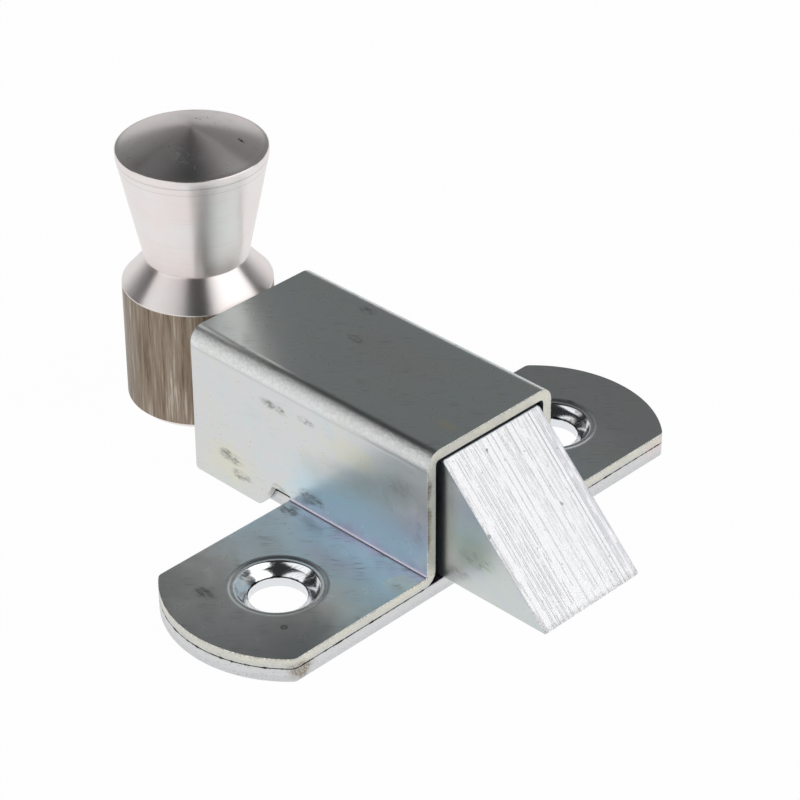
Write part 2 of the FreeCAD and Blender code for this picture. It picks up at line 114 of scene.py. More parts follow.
class SheetSettings(PropertyGroup):
    """The folded cover and the base plate"""

    cover_sheet: length("Cover sheet", "Thickness of the cover's sheet", 1.2 * MM)
    base_sheet: length("Base sheet", "Thickness of the base plate", 1.6 * MM)
    wall: length("Wall", "Half the width over the cover's walls", 9.0 * MM)
    fold: length("Fold", "Outer radius of the folds along the roof", 1.7 * MM)
    foot: length("Foot", "Radius in the corner between a wall and its ear", 0.3 * MM)
    bow: length("Bow", "Radius of the rounded ends of ears and plate", 13.5 * MM)
    corner: length("Corner", "Length trimmed off a corner of the outline", 0.33 * MM)
    notch: length("Notch", "Length of the relief notch behind an ear", 2.7 * MM)
    notch_rise: length("Notch rise", "Height of the notch above the ear's top", 0.35 * MM)
    slant: length("Slant", "How far the wall is cut back towards its foot", 1.8 * MM)
    tail: length("Tail", "Radius on the lower corners of the wall behind the notch", 0.5 * MM)
    tongue: length("Tongue", "Half the width of the tongue", 7.6 * MM)
    bend: length("Bend", "Inner radius of the bend at the upstand", 0.8 * MM)
    upstand_corner: length("Upstand corner", "Radius on the upstand's top corners", 1.4 * MM)
    holes: length("Holes", "Distance from the middle to a screw hole", 20.2 * MM)
    bore: length("Bore", "Radius of a screw hole", 3.0 * MM)
    collar: length("Collar", "Outer radius of the drawn collar", 3.9 * MM)
    collar_end: length("Collar end", "Height of the collar's lower end", 0.5 * MM)
    guide: length("Guide", "Radius of the rod's hole in the upstand", 3.1 * MM)
    edge: length("Edge", "Width of the worn edge round the sheet", 0.1 * MM)
    zinc: colour("Zinc", "Colour of the plated sheet", (0.64, 0.66, 0.66))
    cut_edge: colour("Cut edge", "Colour of the sheared edges", (0.74, 0.73, 0.67))


class BoltSettings(PropertyGroup):
    """The sliding bolt and its rod"""

    bevel_run: length("Bevel run", "Length of the bevel along the bolt", 13.8 * MM)
    nose_flat: length("Nose flat", "Height of the blunt edge on the nose", 0.7 * MM)
    bar_edge: length("Bar edge", "Radius on the bolt's long edges", 0.25 * MM)
    rod: length("Rod", "Radius of the rod", 3.0 * MM)
    rod_core: length("Rod core", "Radius at the bottom of the thread", 2.4 * MM)
    pitch: length("Pitch", "Pitch of the thread", 1.0 * MM)
    rod_in_bolt: length("Rod in bolt", "Length of rod screwed into the bolt", 8.5 * MM)
    rod_relief: length("Rod relief", "Distance from the knob to the rod's plain part", 0.6 * MM)
    rod_chamfer: length("Rod chamfer", "Chamfer at both ends of the plain part", 0.3 * MM)
    tap_runout: length("Tap runout", "Depth of the tapped hole past the rod", 0.8 * MM)
    edge: length("Edge", "Width of the worn edges", 0.09 * MM)
    steel: colour("Steel", "Colour of the plated bar", (0.62, 0.64, 0.64))
    milled: colour("Milled", "Colour of the milled bevel", (0.78, 0.78, 0.79))


class SpringSettings(PropertyGroup):
    """The return spring"""

    wire: length("Wire", "Radius of the wire", 0.4 * MM)
    coil: length("Coil", "Radius of the coils to the wire's middle", 4.4 * MM)
    coil_gap: length("Coil gap", "Gap between the closed coils", 0.05 * MM)
    open_turns: IntProperty(name="Open turns", description="Number of open coils", default=5)
    pulled_length: length("Pulled length", "Length left when the bolt is drawn back", 8.4 * MM)
    wire_steel: colour("Wire steel", "Colour of the spring wire", (0.42, 0.42, 0.44))


class KnobSettings(PropertyGroup):
    """The turned pull knob"""

    foot: length("Foot", "Radius of the knob's foot", 8.15 * MM)
    chamfer: length("Chamfer", "Chamfer round the underside", 0.75 * MM)
    foot_height: length("Foot height", "Height of the cylindrical foot", 14.4 * MM)
    shoulder: length("Shoulder", "Height of the sloping shoulder", 2.8 * MM)
    neck: length("Neck", "Radius of the neck", 5.65 * MM)
    groove: length("Groove", "Width of the fine groove round the neck", 0.4 * MM)
    groove_depth: length("Groove depth", "Depth of the fine groove", 0.25 * MM)
    head: length("Head", "Radius of the head", 8.1 * MM)
    head_rise: length("Head rise", "Height of the flaring head", 11.9 * MM)
    rim: length("Rim", "Height of the straight rim", 0.85 * MM)
    rim_round: length("Rim round", "Radius on the rim's upper edge", 0.15 * MM)
    crown: length("Crown", "Height of the crown on the head", 2.15 * MM)
    cross_hole: length("Cross hole", "Radius of the hole for the rod", 3.02 * MM)
    edge: length("Edge", "Width of the worn edges", 0.08 * MM)
    turned: colour("Turned", "Colour of the turned aluminium", (0.84, 0.81, 0.80))
    # The foot's colour: the drawn bar's streaked surface, with a painted brown reflection
    skin: colour("Skin", "Colour of the drawn bar's skin on the foot", (0.25, 0.195, 0.145))


class StageSettings(PropertyGroup):
    """Camera, lamps and floor"""

    azimuth: angle("Azimuth", "Direction of the camera, from -Y towards +X", 44.378)
    elevation: angle("Elevation", "Height of the camera over the horizon", 32.89)
    roll: angle("Roll", "Turn of the picture about the line of sight", -0.222)
    distance: length("Distance", "Distance from the camera to its target", 303.9 * MM)
    target: FloatVectorProperty(
        name="Target", description="Point at the middle of the picture",
        default=(-2.711 * MM, 0.0, 14.051 * MM), subtype="TRANSLATION", unit="LENGTH",
    )
    focal: FloatProperty(
        name="Focal length", description="Focal length in millimetres", default=134.61
    )
    floor: colour("Floor", "Colour of the floor and its rim", (0.92, 0.92, 0.92))
    glow: FloatProperty(
        name="Glow", description="Share of the lit table in the floor's look", default=0.98,
        min=0.0, max=1.0, subtype="FACTOR",
    )
    surround: colour("Surround", "Colour of the dim room round the lamps", (0.028, 0.029, 0.03))


# Modelling steps


def pick_object(piece):
    """Make a piece the one active and selected object, in object mode."""
    if bpy.context.mode != "OBJECT":
        bpy.ops.object.mode_set(mode="OBJECT")
    bpy.ops.object.select_all(action="DESELECT")
    piece.select_set(True)
    bpy.context.view_layer.objects.active = piece


def primitive(name, add, **place):
    """Add a primitive as a piece with a name of its own."""
    bpy.ops.object.select_all(action="DESELECT")
    add(**place)
    piece = bpy.context.object
    piece.name = piece.data.name = name
    return piece


def settle(piece, place=(0, 0, 0), turn=(0, 0, 0)):
    """Put a place and a turn into the mesh, and leave the object at the origin."""
    pick_object(piece)
    piece.rotation_euler = turn
    piece.location = piece.location + Vector(place)
    bpy.ops.object.transform_apply(location=True, rotation=True, scale=True)


def block(name, low, high):
    low, high = Vector(low), Vector(high)
    piece = primitive(name, bpy.ops.mesh.primitive_cube_add, size=1, location=(low + high) / 2)
    piece.scale = high - low
    settle(piece)
    return piece


def cylinder(name, radius, depth, place, corners, turn=(0, 0, 0)):
    piece = primitive(
        name, bpy.ops.mesh.primitive_cylinder_add, vertices=corners, radius=radius, depth=depth,
        location=place,
    )
    settle(piece, turn=turn)
    return piece


def panel(name, low, high, height):
    """Flat rectangle that faces up."""
    middle = ((low[0] + high[0]) / 2, (low[1] + high[1]) / 2, height)
    piece = primitive(name, bpy.ops.mesh.primitive_plane_add, size=1, location=middle)
    piece.scale = (high[0] - low[0], high[1] - low[1], 1)
    settle(piece)
    return piece


def edit(piece):
    pick_object(piece)
    bpy.ops.object.mode_set(mode="EDIT")
    bpy.ops.mesh.select_all(action="DESELECT")


def done():
    bpy.ops.object.mode_set(mode="OBJECT")


def lies(part, **levels):
    """Whether all corners of a vertex, edge or face share a coordinate. A tuple gives choices."""
    corners = [part] if isinstance(part, bmesh.types.BMVert) else part.verts
    for axis, choices in levels.items():
        choices = choices if isinstance(choices, tuple) else (choices,)
        if not any(all(abs(getattr(c.co, axis) - v) < NEAR for c in corners) for v in choices):
            return False
    return True


def both(value):
    return (-value, value)


def pick(kind, wanted):
    """In edit mode, select just the vertices, edges or faces that a test wants."""
    bpy.ops.mesh.select_mode(type=kind)
    bpy.ops.mesh.select_all(action="DESELECT")
    data = bpy.context.object.data
    mesh = bmesh.from_edit_mesh(data)
    parts = {"VERT": mesh.verts, "EDGE": mesh.edges, "FACE": mesh.faces}[kind]
    for part in parts:
        if wanted(part):
            part.select_set(True)
    bmesh.update_edit_mesh(data)


def pick_at(kind, **levels):
    """In edit mode, select just the vertices, edges or faces that lie at some coordinates."""
    pick(kind, lambda part: lies(part, **levels))


def middle_of(part):
    return sum((corner.co for corner in part.verts), Vector()) / len(part.verts)


def extrude(*way):
    bpy.ops.mesh.extrude_region_move(TRANSFORM_OT_translate={"value": way})


def slice_at(point, normal, **choices):
    """Cut right through the mesh along a plane."""
    bpy.ops.mesh.select_all(action="SELECT")
    bpy.ops.mesh.bisect(plane_co=point, plane_no=normal, **choices)


def cut_ends(start, end):
    """Cut the mesh off past two places along X, and close both ends."""
    for place, way in ((start, -1), (end, 1)):
        slice_at((place, 0, 0), (way, 0, 0), use_fill=True, clear_outer=True)


def modify(piece, kind, **settings):
    """Add a modifier, set it and apply it."""
    pick_object(piece)
    made = piece.modifiers.new(kind.title(), kind)
    for key, value in settings.items():
        setattr(made, key, value)
    bpy.ops.object.modifier_apply(modifier=made.name)


def thicken(piece, sheet):
    """Give a folded surface the sheet's thickness, below and inside it, with its cut edges."""
    modify(
        piece, "SOLIDIFY", thickness=sheet, offset=-1, use_even_offset=True, material_offset_rim=1
    )


def combine(piece, tool, operation):
    modify(piece, "BOOLEAN", object=tool, operation=operation, solver="EXACT")
    bpy.data.objects.remove(tool, do_unlink=True)


def lathe(name, rings, segments):
    """Solid of revolution about Z, extruded ring by ring from (radius, height) pairs.

    A last radius of nothing closes it in a point.
    """
    radius, height = rings[0]
    piece = primitive(
        name, bpy.ops.mesh.primitive_circle_add, vertices=segments, radius=radius,
        fill_type="NGON", location=(0, 0, height),
    )
    settle(piece)
    edit(piece)
    bpy.ops.mesh.select_all(action="SELECT")
    bpy.ops.mesh.flip_normals()
    pick("EDGE", lambda edge: True)
    for next_radius, next_height in rings[1:]:
        extrude(0, 0, next_height - height)
        if next_radius:
            share = next_radius / radius
            middle = (0, 0, next_height)
            bpy.ops.transform.resize(value=(share, share, 1), center_override=middle)
        else:
            bpy.ops.mesh.merge(type="CENTER")
        radius, height = next_radius, next_height
    if radius:
        bpy.ops.mesh.edge_face_add()
    bpy.ops.mesh.select_all(action="SELECT")
    bpy.ops.mesh.normals_make_consistent(inside=False)
    done()
    return piece


def arc(centre, radius, first, last, steps):
    """(across, up) points along an arc, with angles in degrees."""
    turns = [math.radians(first + (last - first) * i / steps) for i in range(steps + 1)]
    return [(centre[0] + radius * math.cos(t), centre[1] + radius * math.sin(t)) for t in turns]


def ease(piece, width, sharper_than):
    """Round the edges sharper than an angle in degrees, and shade by the large faces."""
    pick_object(piece)
    bpy.ops.object.shade_smooth()
    modify(
        piece, "BEVEL", width=width, segments=2, limit_method="ANGLE",
        angle_limit=math.radians(sharper_than), miter_outer="MITER_ARC", use_clamp_overlap=True,
    )
    modify(piece, "WEIGHTED_NORMAL", weight=100, keep_sharp=False)


def dress(piece, *materials):
    """Give a piece its materials, in place of any that it has. Faces start with the first."""
    piece.data.materials.clear()
    for material in materials:
        piece.data.materials.append(material)


def belongs(piece, body, node):
    """Let a piece stand for its node and ride on its body."""
    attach(piece, body)
    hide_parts(node)


def side_of(settings):
    """Distance from the middle to where the bowed ends of the ears and the plate begin."""
    return COVER_HIGH.y - settings.bow + math.sqrt(settings.bow**2 - COVER_HIGH.x**2)


def bowed_end(settings, end):
    """Round the end of the ear or plate whose straight edge is selected, then its corners."""
    bpy.ops.mesh.subdivide(number_cuts=31)
    data = bpy.context.object.data
    mesh = bmesh.from_edit_mesh(data)
    centre, side = COVER_HIGH.y - settings.bow, side_of(settings)
    for corner in mesh.verts:
        if corner.select:
            corner.co.y = end * (centre + math.sqrt(settings.bow**2 - corner.co.x**2))
    bmesh.update_edit_mesh(data)
    pick_at("VERT", x=both(COVER_HIGH.x), y=end * side)
    bpy.ops.mesh.bevel(offset=settings.corner, segments=4, affect="VERTICES")


# Cover


def build_cover(settings):
    """Fold the sheet: roof, walls and ears, then the collars, the seats and the worn edges."""
    wall, roof, ear_rear = settings.wall, COVER_HIGH.z, -COVER_HIGH.x
    ear_top = settings.base_sheet + settings.cover_sheet
    notch_top = ear_top + settings.notch_rise
    tail_front = ear_rear - settings.notch
    piece = panel("cover", (COVER_LOW.x, -wall), (COVER_HIGH.x, wall), roof)
    dress(piece, zinc_sheet(settings), cut_edge(settings))

    edit(piece)
    for station in (tail_front, ear_rear):
        slice_at((station, 0, 0), (1, 0, 0))
    pick_at("EDGE", y=both(wall))
    extrude(0, 0, notch_top - roof)
    pick("EDGE", lambda e: lies(e, z=notch_top, y=both(wall)) and middle_of(e).x < tail_front)
    extrude(0, 0, -notch_top)
    pick("EDGE", lambda e: lies(e, z=notch_top, y=both(wall)) and middle_of(e).x > ear_rear)
    extrude(0, 0, ear_top - notch_top)
    side = side_of(settings)
    for end in (-1, 1):
        pick("EDGE", lambda e: lies(e, z=ear_top, y=end * wall) and not lies(e, x=both(ear_rear)))
        extrude(0, end * (side - wall), 0)
        pick_at("EDGE", z=ear_top, y=end * side)
        bowed_end(settings, end)
    pick_at("EDGE", z=roof, y=both(wall))
    bpy.ops.mesh.bevel(offset=settings.fold, segments=8, affect="EDGES")
    pick_at("EDGE", z=ear_top, y=both(wall))
    bpy.ops.mesh.bevel(offset=settings.foot, segments=4, affect="EDGES")
    pick_at("VERT", x=tail_front, y=both(wall), z=0)
    bpy.ops.transform.translate(value=(-settings.slant, 0, 0))
    pick_at("VERT", y=both(wall), z=0)
    bpy.ops.mesh.bevel(offset=settings.tail, segments=5, affect="VERTICES")
    done()

    thicken(piece, settings.cover_sheet)
    for end in (-1, 1):
        add_seat(piece, settings, end * settings.holes, ear_top)
    ease(piece, settings.edge, sharper_than=40)
    return piece


def add_seat(piece, settings, place, ear_top):
    """Draw the collar down from the ear and press the screw's seat into it."""
    inside, end = ear_top - settings.cover_sheet / 2, settings.collar_end
    middle = (0, place, (inside + end) / 2)
    collar = cylinder("collar", settings.collar, inside - end, middle, SEAT_CORNERS)
    combine(piece, collar, "UNION")
    # Millimetres outside the bore and over the ear's top: bore, cone, rim and sunken ring
    profile = [
        (0, -3.2), (0, -1.25), (0.05, -1.15), (0.84, -0.60), (0.93, -0.53), (1.22, -0.23),
        (1.29, -0.14), (1.38, -0.10), (1.50, -0.10), (1.64, -0.13), (1.78, -0.09), (1.92, -0.03),
        (2.22, 0), (2.8, 0.05), (2.8, 0.6),
    ]
    rings = [(settings.bore + out * MM, ear_top + up * MM) for out, up in profile]
    cutter = lathe("seat", rings, SEAT_CORNERS)
    settle(cutter, place=(0, place, 0))
    combine(piece, cutter, "DIFFERENCE")


# Base plate


def build_plate(settings):
    """Plate under the ears, with a tongue that is bent up behind the spring."""
    front, rear, top = COVER_HIGH.x, -COVER_HIGH.x, settings.base_sheet
    side = side_of(settings)
    upstand_front = PLATE_LOW.x + settings.base_sheet
    piece = panel("base", (rear, -side), (front, side), top)
    # The cover's finishes are made first, and the plate shares them
    dress(piece, bpy.data.materials["zinc_sheet"], bpy.data.materials["cut_edge"])

    edit(piece)
    for station in both(settings.tongue):
        slice_at((0, station, 0), (0, 1, 0))
    for end in (-1, 1):
        pick_at("EDGE", y=end * side)
        bowed_end(settings, end)
    pick("EDGE", lambda e: lies(e, x=rear) and abs(middle_of(e).y) < NEAR)
    extrude(upstand_front - rear, 0, 0)
    extrude(0, 0, PLATE_HIGH.z - top)
    pick_at("EDGE", x=upstand_front, z=top)
    bpy.ops.mesh.bevel(offset=settings.bend, segments=6, affect="EDGES")
    pick_at("VERT", x=upstand_front, z=PLATE_HIGH.z)
    bpy.ops.mesh.bevel(offset=settings.upstand_corner, segments=6, affect="VERTICES")
    done()

    thicken(piece, settings.base_sheet)
    through = 4 * settings.base_sheet
    for end in (-1, 1):
        middle = (0, end * settings.holes, 0)
        hole = cylinder("hole", settings.collar + PLAY, through, middle, SEAT_CORNERS)
        combine(piece, hole, "DIFFERENCE")
    middle = (PLATE_LOW.x, 0, ROD_HEIGHT)
    guide = cylinder("guide", settings.guide, through, middle, ROD_CORNERS, ALONG_X)
    combine(piece, guide, "DIFFERENCE")
    ease(piece, settings.edge, sharper_than=40)
    return piece


# Bolt


def build_bolt(settings):
    """Square bar with the bevel milled on its nose and the tapped hole in its rear face."""
    piece = block("bolt", BOLT_LOW, BOLT_HIGH)
    edit(piece)
    pick("EDGE", lambda e: abs(e.verts[0].co.x - e.verts[1].co.x) > MM)
    bpy.ops.mesh.bevel(offset=settings.bar_edge, segments=4, affect="EDGES")
    start = Vector((BOLT_HIGH.x - settings.bevel_run, 0, BOLT_HIGH.z))
    slope = Vector((BOLT_HIGH.x, 0, BOLT_LOW.z + settings.nose_flat)) - start
    facing = Vector((-slope.z, 0, slope.x))
    slice_at(start, facing, use_fill=True, clear_outer=True)
    done()
    depth = settings.rod_in_bolt + settings.tap_runout
    middle = (BOLT_LOW.x, 0, ROD_HEIGHT)
    tap = cylinder("tap", settings.rod + PLAY, 2 * depth, middle, ROD_CORNERS, ALONG_X)
    combine(piece, tap, "DIFFERENCE")
    ease(piece, settings.edge, sharper_than=30)
    dress(piece, plated_bar(settings), milled_face(settings))
    edit(piece)
    pick("FACE", lambda f: f.normal.dot(facing.normalized()) > 0.999)
    piece.active_material_index = 1
    bpy.ops.object.material_slot_assign()
    done()
    return piece


# Rod


def threaded(name, settings, start, end):
    """Length of thread along X: a tooth's outline screwed round the rod, cut off at both ends."""
    crest, root, pitch = settings.rod, settings.rod_core, settings.pitch
    # Radius, and share of the pitch along the rod
    outline = [(crest, 0), (crest, 0.12), (root, 0.45), (root, 0.67), (crest, 1)]
    piece = primitive(name, bpy.ops.mesh.primitive_circle_add, vertices=4, radius=crest)
    edit(piece)
    pick("VERT", lambda v: True)
    bpy.ops.mesh.merge(type="CENTER")
    bpy.ops.transform.translate(value=(crest, 0, 0))
    for (radius, share), (next_radius, next_share) in zip(outline, outline[1:]):
        extrude(next_radius - radius, 0, (next_share - share) * pitch)
    done()
    turns = math.ceil((end - start) / pitch) + 2
    modify(
        piece, "SCREW", axis="Z", screw_offset=pitch, iterations=turns, steps=32,
        render_steps=32, use_merge_vertices=True, merge_threshold=NEAR,
    )
    settle(piece, place=(start - pitch, 0, ROD_HEIGHT), turn=ALONG_X)
    edit(piece)
    cut_ends(start, end)
    bpy.ops.mesh.select_all(action="SELECT")
    bpy.ops.mesh.normals_make_consistent(inside=False)
    done()
    return piece


def build_rod(settings):
    """Rod with a plain middle and a thread at each end."""
    crest, root, chamfer = settings.rod, settings.rod_core, settings.rod_chamfer
    start, end = KNOB_HIGH.x + settings.rod_relief, BOLT_LOW.x
    lap = 0.01 * MM
    rings = [
        (root, start - lap), (root, start), (crest - chamfer, start),
        (crest, start + chamfer), (crest, end - chamfer), (crest - chamfer, end),
    ]
    piece = lathe("rod", rings, ROD_CORNERS)
    settle(piece, place=(0, 0, ROD_HEIGHT), turn=ALONG_X)
    threads = [
        threaded("rear_thread", settings, ROD_LOW.x, start),
        threaded("front_thread", settings, end, ROD_HIGH.x),
    ]
    pick_object(piece)
    for thread in threads:
        thread.select_set(True)
    bpy.ops.object.join()
    bpy.ops.object.shade_smooth_by_angle(angle=math.radians(35))
    dress(piece, plated_rod(settings))
    return piece


# Spring


def build_spring(settings):
    """Round wire wound with closed end coils, and cut off at both ends."""
    low, high = SPRING_LOW.x, SPRING_HIGH.x
    closed = 2 * settings.wire + settings.coil_gap
    opened = (high - low - 2 * closed) / settings.open_turns
    steps = 32
    # Place along X and turn round the rod, step by step
    stations, along = [], low
    for pitch in (closed, *[opened] * settings.open_turns, closed):
        for step in range(steps):
            stations.append((along, 2 * math.pi * step / steps))
            along += pitch / steps
    stations.append((along, 0))
    curve = bpy.data.curves.new("spring", "CURVE")
    curve.dimensions = "3D"
    spline = curve.splines.new("POLY")
    spline.points.add(len(stations) - 1)
    for point, (x, turn) in zip(spline.points, stations):
        y = -settings.coil * math.sin(turn)
        z = ROD_HEIGHT + settings.coil * math.cos(turn)
        point.co = (x, y, z, 1)
    curve.bevel_depth = settings.wire
    curve.bevel_resolution = 3
    curve.use_fill_caps = True
    piece = bpy.data.objects.new("spring", curve)
    bpy.context.scene.collection.objects.link(piece)
    pick_object(piece)
    bpy.ops.object.convert(target="MESH")
    edit(piece)
    cut_ends(low, high)
    done()
    bpy.ops.object.shade_smooth_by_angle(angle=math.radians(50))
    dress(piece, spring_wire(settings))
    return piece


# Knob


def build_knob(settings):
    """Turn the knob ring by ring, then drill the hole for the rod."""
    shoulder_top = settings.foot_height + settings.shoulder
    head_bottom = shoulder_top + settings.groove
    head_top = head_bottom + settings.head_rise
    rim_top = head_top + settings.rim
    rounding = settings.rim_round
    flat = settings.head - rounding
    rings = [
        (settings.foot - settings.chamfer, 0),
        (settings.foot, settings.chamfer),
        (settings.foot, settings.foot_height / 2),
        (settings.foot, settings.foot_height),
        (settings.neck, shoulder_top),
        (settings.neck - settings.groove_depth, shoulder_top + settings.groove / 2),
        (settings.neck, head_bottom),
        (settings.head, head_top),
    ]
    rings += arc((flat, rim_top - rounding), rounding, 0, 90, 6)
    # The crown is a low cone: how round its tip is, and how much its slope swells
    tip, swell = 0.03, 0.25
    for share in (0.94, 0.86, 0.77, 0.68, 0.59, 0.5, 0.41, 0.32, 0.23, 0.16, 0.10, 0.05, 0.02):
        run = (math.sqrt(share**2 + tip) - math.sqrt(tip)) / (math.sqrt(1 + tip) - math.sqrt(tip))
        rise = settings.crown * (1 - run) * (1 + swell * run)
        rings.append((flat * share, rim_top + rise))
    rings.append((0, rim_top + settings.crown))
    piece = lathe("knob", rings, KNOB_CORNERS)
    settle(piece, place=(KNOB_AXIS, 0, KNOB_LOW.z))
    depth, middle = KNOB_HIGH.x - ROD_LOW.x, (KNOB_HIGH.x, 0, ROD_HEIGHT)
    drill = cylinder("drill", settings.cross_hole, 2 * depth, middle, ROD_CORNERS, ALONG_X)
    combine(piece, drill, "DIFFERENCE")
    ease(piece, settings.edge, sharper_than=16)
    dress(piece, turned_knob(settings))
    return piece


# Finishes


def arithmetic(operation, swapped=False):
    """Method for an operator of Python, which adds a Math node."""

    def method(wire, *others):
        values = (*others, wire) if swapped else (wire, *others)
        return wire.finish.math(operation, *values)

    return method


class Wire:
    """Output of a shader node. Arithmetic on it adds Math nodes to the same finish."""

    def __init__(self, finish, socket):
        self.finish = finish
        self.socket = socket

    __add__ = arithmetic("ADD")
    __radd__ = arithmetic("ADD", swapped=True)
    __sub__ = arithmetic("SUBTRACT")
    __rsub__ = arithmetic("SUBTRACT", swapped=True)
    __mul__ = arithmetic("MULTIPLY")
    __rmul__ = arithmetic("MULTIPLY", swapped=True)
    __truediv__ = arithmetic("DIVIDE")
    __abs__ = arithmetic("ABSOLUTE")


class Finish:
    """A material made of nodes. Its places are in millimetres of the part's own frame."""

    def __init__(self, name):
        self.material = bpy.data.materials.new(name)
        self.material.use_nodes = True
        self.tree = self.material.node_tree
        self.tree.nodes.clear()
        self.end = self.tree.nodes.new("ShaderNodeOutputMaterial")
        coordinates = self.node("ShaderNodeTexCoord", output="Object")
        self.place = self.node(
            "ShaderNodeVectorMath", {"operation": "SCALE"}, {0: coordinates, "Scale": 1 / MM}
        )
        split = self.node("ShaderNodeSeparateXYZ", inputs={0: self.place})
        self.x, self.y, self.z = (Wire(self, s) for s in split.socket.node.outputs)

    def node(self, kind, settings=None, inputs=None, output=0):
        """Add a node: its settings first, then the values or links of its sockets."""
        made = self.tree.nodes.new(kind)
        for key, value in (settings or {}).items():
            if key == "stops":
                self.set_stops(made.color_ramp, value)
            else:
                setattr(made, key, value)
        for key, value in (inputs or {}).items():
            if isinstance(value, Wire):
                self.tree.links.new(value.socket, made.inputs[key])
            else:
                made.inputs[key].default_value = value
        return Wire(self, made.outputs[output])

    @staticmethod
    def set_stops(ramp, stops):
        while len(ramp.elements) < len(stops):
            ramp.elements.new(1.0)
        for element, (position, shade) in zip(ramp.elements, stops):
            element.position = position
            element.color = (*shade, 1.0)

    def math(self, operation, *values):
        return self.node("ShaderNodeMath", {"operation": operation}, dict(enumerate(values)))

    def length(self, *parts):
        """Square root of the sum of squares."""
        return self.math("SQRT", sum(part * part for part in parts))

    def vector(self, x, y, z):
        return self.node("ShaderNodeCombineXYZ", inputs={0: x, 1: y, 2: z})

    def noise(self, scale, turn=None, shift=(0, 0, 0), detail=2, roughness=0.5, distortion=0):
        """Noise in places turned by degrees, stretched and shifted, or in a vector."""
        place = scale
        if not isinstance(scale, Wire):
            place = self.place
            if turn:
                turns = [math.radians(t) for t in turn]
                place = self.node(
                    "ShaderNodeMapping", {"vector_type": "TEXTURE"},
                    {"Vector": place, "Rotation": turns},
                )
            scales = scale if isinstance(scale, tuple) else (scale, scale, scale)
            place = self.node(
                "ShaderNodeMapping", {"vector_type": "POINT"},
                {"Vector": place, "Location": shift, "Scale": scales},
            )
        return self.node(
            "ShaderNodeTexNoise", inputs={
                "Vector": place, "Scale": 1.0, "Detail": detail, "Roughness": roughness,
                "Distortion": distortion,
            },
        )

    def spots(self, scale):
        """Distance to the nearest of many scattered points."""
        return self.node("ShaderNodeTexVoronoi", inputs={"Vector": self.place, "Scale": scale})

    def step(self, value, low, high):
        """Smooth step from 0 at low to 1 at high. A high below low steps down."""
        return self.node(
            "ShaderNodeMapRange", {"interpolation_type": "SMOOTHSTEP"},
            {"Value": value, "From Min": low, "From Max": high},
        )

    def line(self, value, middle, outer, inner):
        """Line where a value is at its middle: all of it within inner, nothing past outer."""
        return self.step(abs(value - middle), outer, inner)

    def tint(self, factor, first, second):
        """Mix two colours."""
        rgba = [c if isinstance(c, Wire) else (*c, 1.0) for c in (first, second)]
        settings = {"data_type": "RGBA", "clamp_factor": True}
        return self.node("ShaderNodeMix", settings, {0: factor, 6: rgba[0], 7: rgba[1]}, 2)

    def over(self, shade, *layers):
        """Lay colours over a shade one after another, each as (mask, colour)."""
        for mask, layer in layers:
            shade = self.tint(mask, shade, layer)
        return shade

    def ramp(self, value, *stops):
        return self.node("ShaderNodeValToRGB", {"stops": stops}, {"Fac": value})

    def scratches(self, turn, run, width, share, seed, plane="z"):
        """Short straight scratches: stretched noise whose highest parts are kept."""
        scale = {"z": (1 / run, 1 / width, 0.4), "y": (1 / run, 0.4, 1 / width)}[plane]
        turns = {"z": (0, 0, turn), "y": (0, turn, 0)}[plane]
        streaks = self.noise(scale, turns, (seed, seed * 2, seed * 3), detail=0)
        return self.step(streaks, 1 - share, 1 - share + 0.04)

    def blot(self, middle, reach, soft, ragged):
        """Soft patch round a place in millimetres, which ends at its reach along each axis."""
        nearness = self.node(
            "ShaderNodeMapping", {"vector_type": "POINT"},
            {
                "Vector": self.place, "Location": [-m / r for m, r in zip(middle, reach)],
                "Scale": [1 / r for r in reach],
            },
        )
        away = self.node("ShaderNodeVectorMath", {"operation": "LENGTH"}, {0: nearness}, "Value")
        if ragged:
            away = away + (ragged - 0.5) * 1.2
        return self.step(away, 1.0, 1.0 - soft)

    def blots(self, soft, *places, ragged=None):
        """Soft patches together, as (middle, reach) pairs. A noise makes their edges ragged."""
        patches = [self.blot(middle, reach, soft, ragged) for middle, reach in places]
        return self.step(sum(patches), 0.0, 1.0)

    def metal(self, shade, rough, relief, depth, gloss=None):
        """Bare metal with a relief between 0 and 1 that is so many millimetres deep."""
        bump = self.node(
            "ShaderNodeBump", inputs={"Height": relief, "Distance": depth * MM, "Strength": 1.0}
        )
        inputs = {"Base Color": shade, "Metallic": 1.0, "Roughness": rough, "Normal": bump}
        shader = self.node("ShaderNodeBsdfPrincipled", inputs={**inputs, **(gloss or {})})
        self.tree.links.new(shader.socket, self.end.inputs["Surface"])
        return self.material


def sheet_levels(settings):
    """In millimetres: the plate's top, the ears' top, the roof, and the walls' outer faces."""
    top = settings.base_sheet + settings.cover_sheet
    return settings.base_sheet / MM, top / MM, COVER_HIGH.z / MM, settings.wall / MM


def seam_shade(f, settings):
    """Painted shade in the joint between the ears and the base plate, seen along their edges."""
    joint, _, _, wall = sheet_levels(settings)
    wander = f.noise((1.1, 1.1, 0.1), shift=(4, 4, 4), detail=4, roughness=0.7)
    line = f.step(abs(f.z - joint) - 0.08 * f.step(wander, 0.45, 0.68), 0.09, 0.03)
    return line * f.step(abs(f.y), wall + 0.2, wall + 0.6)


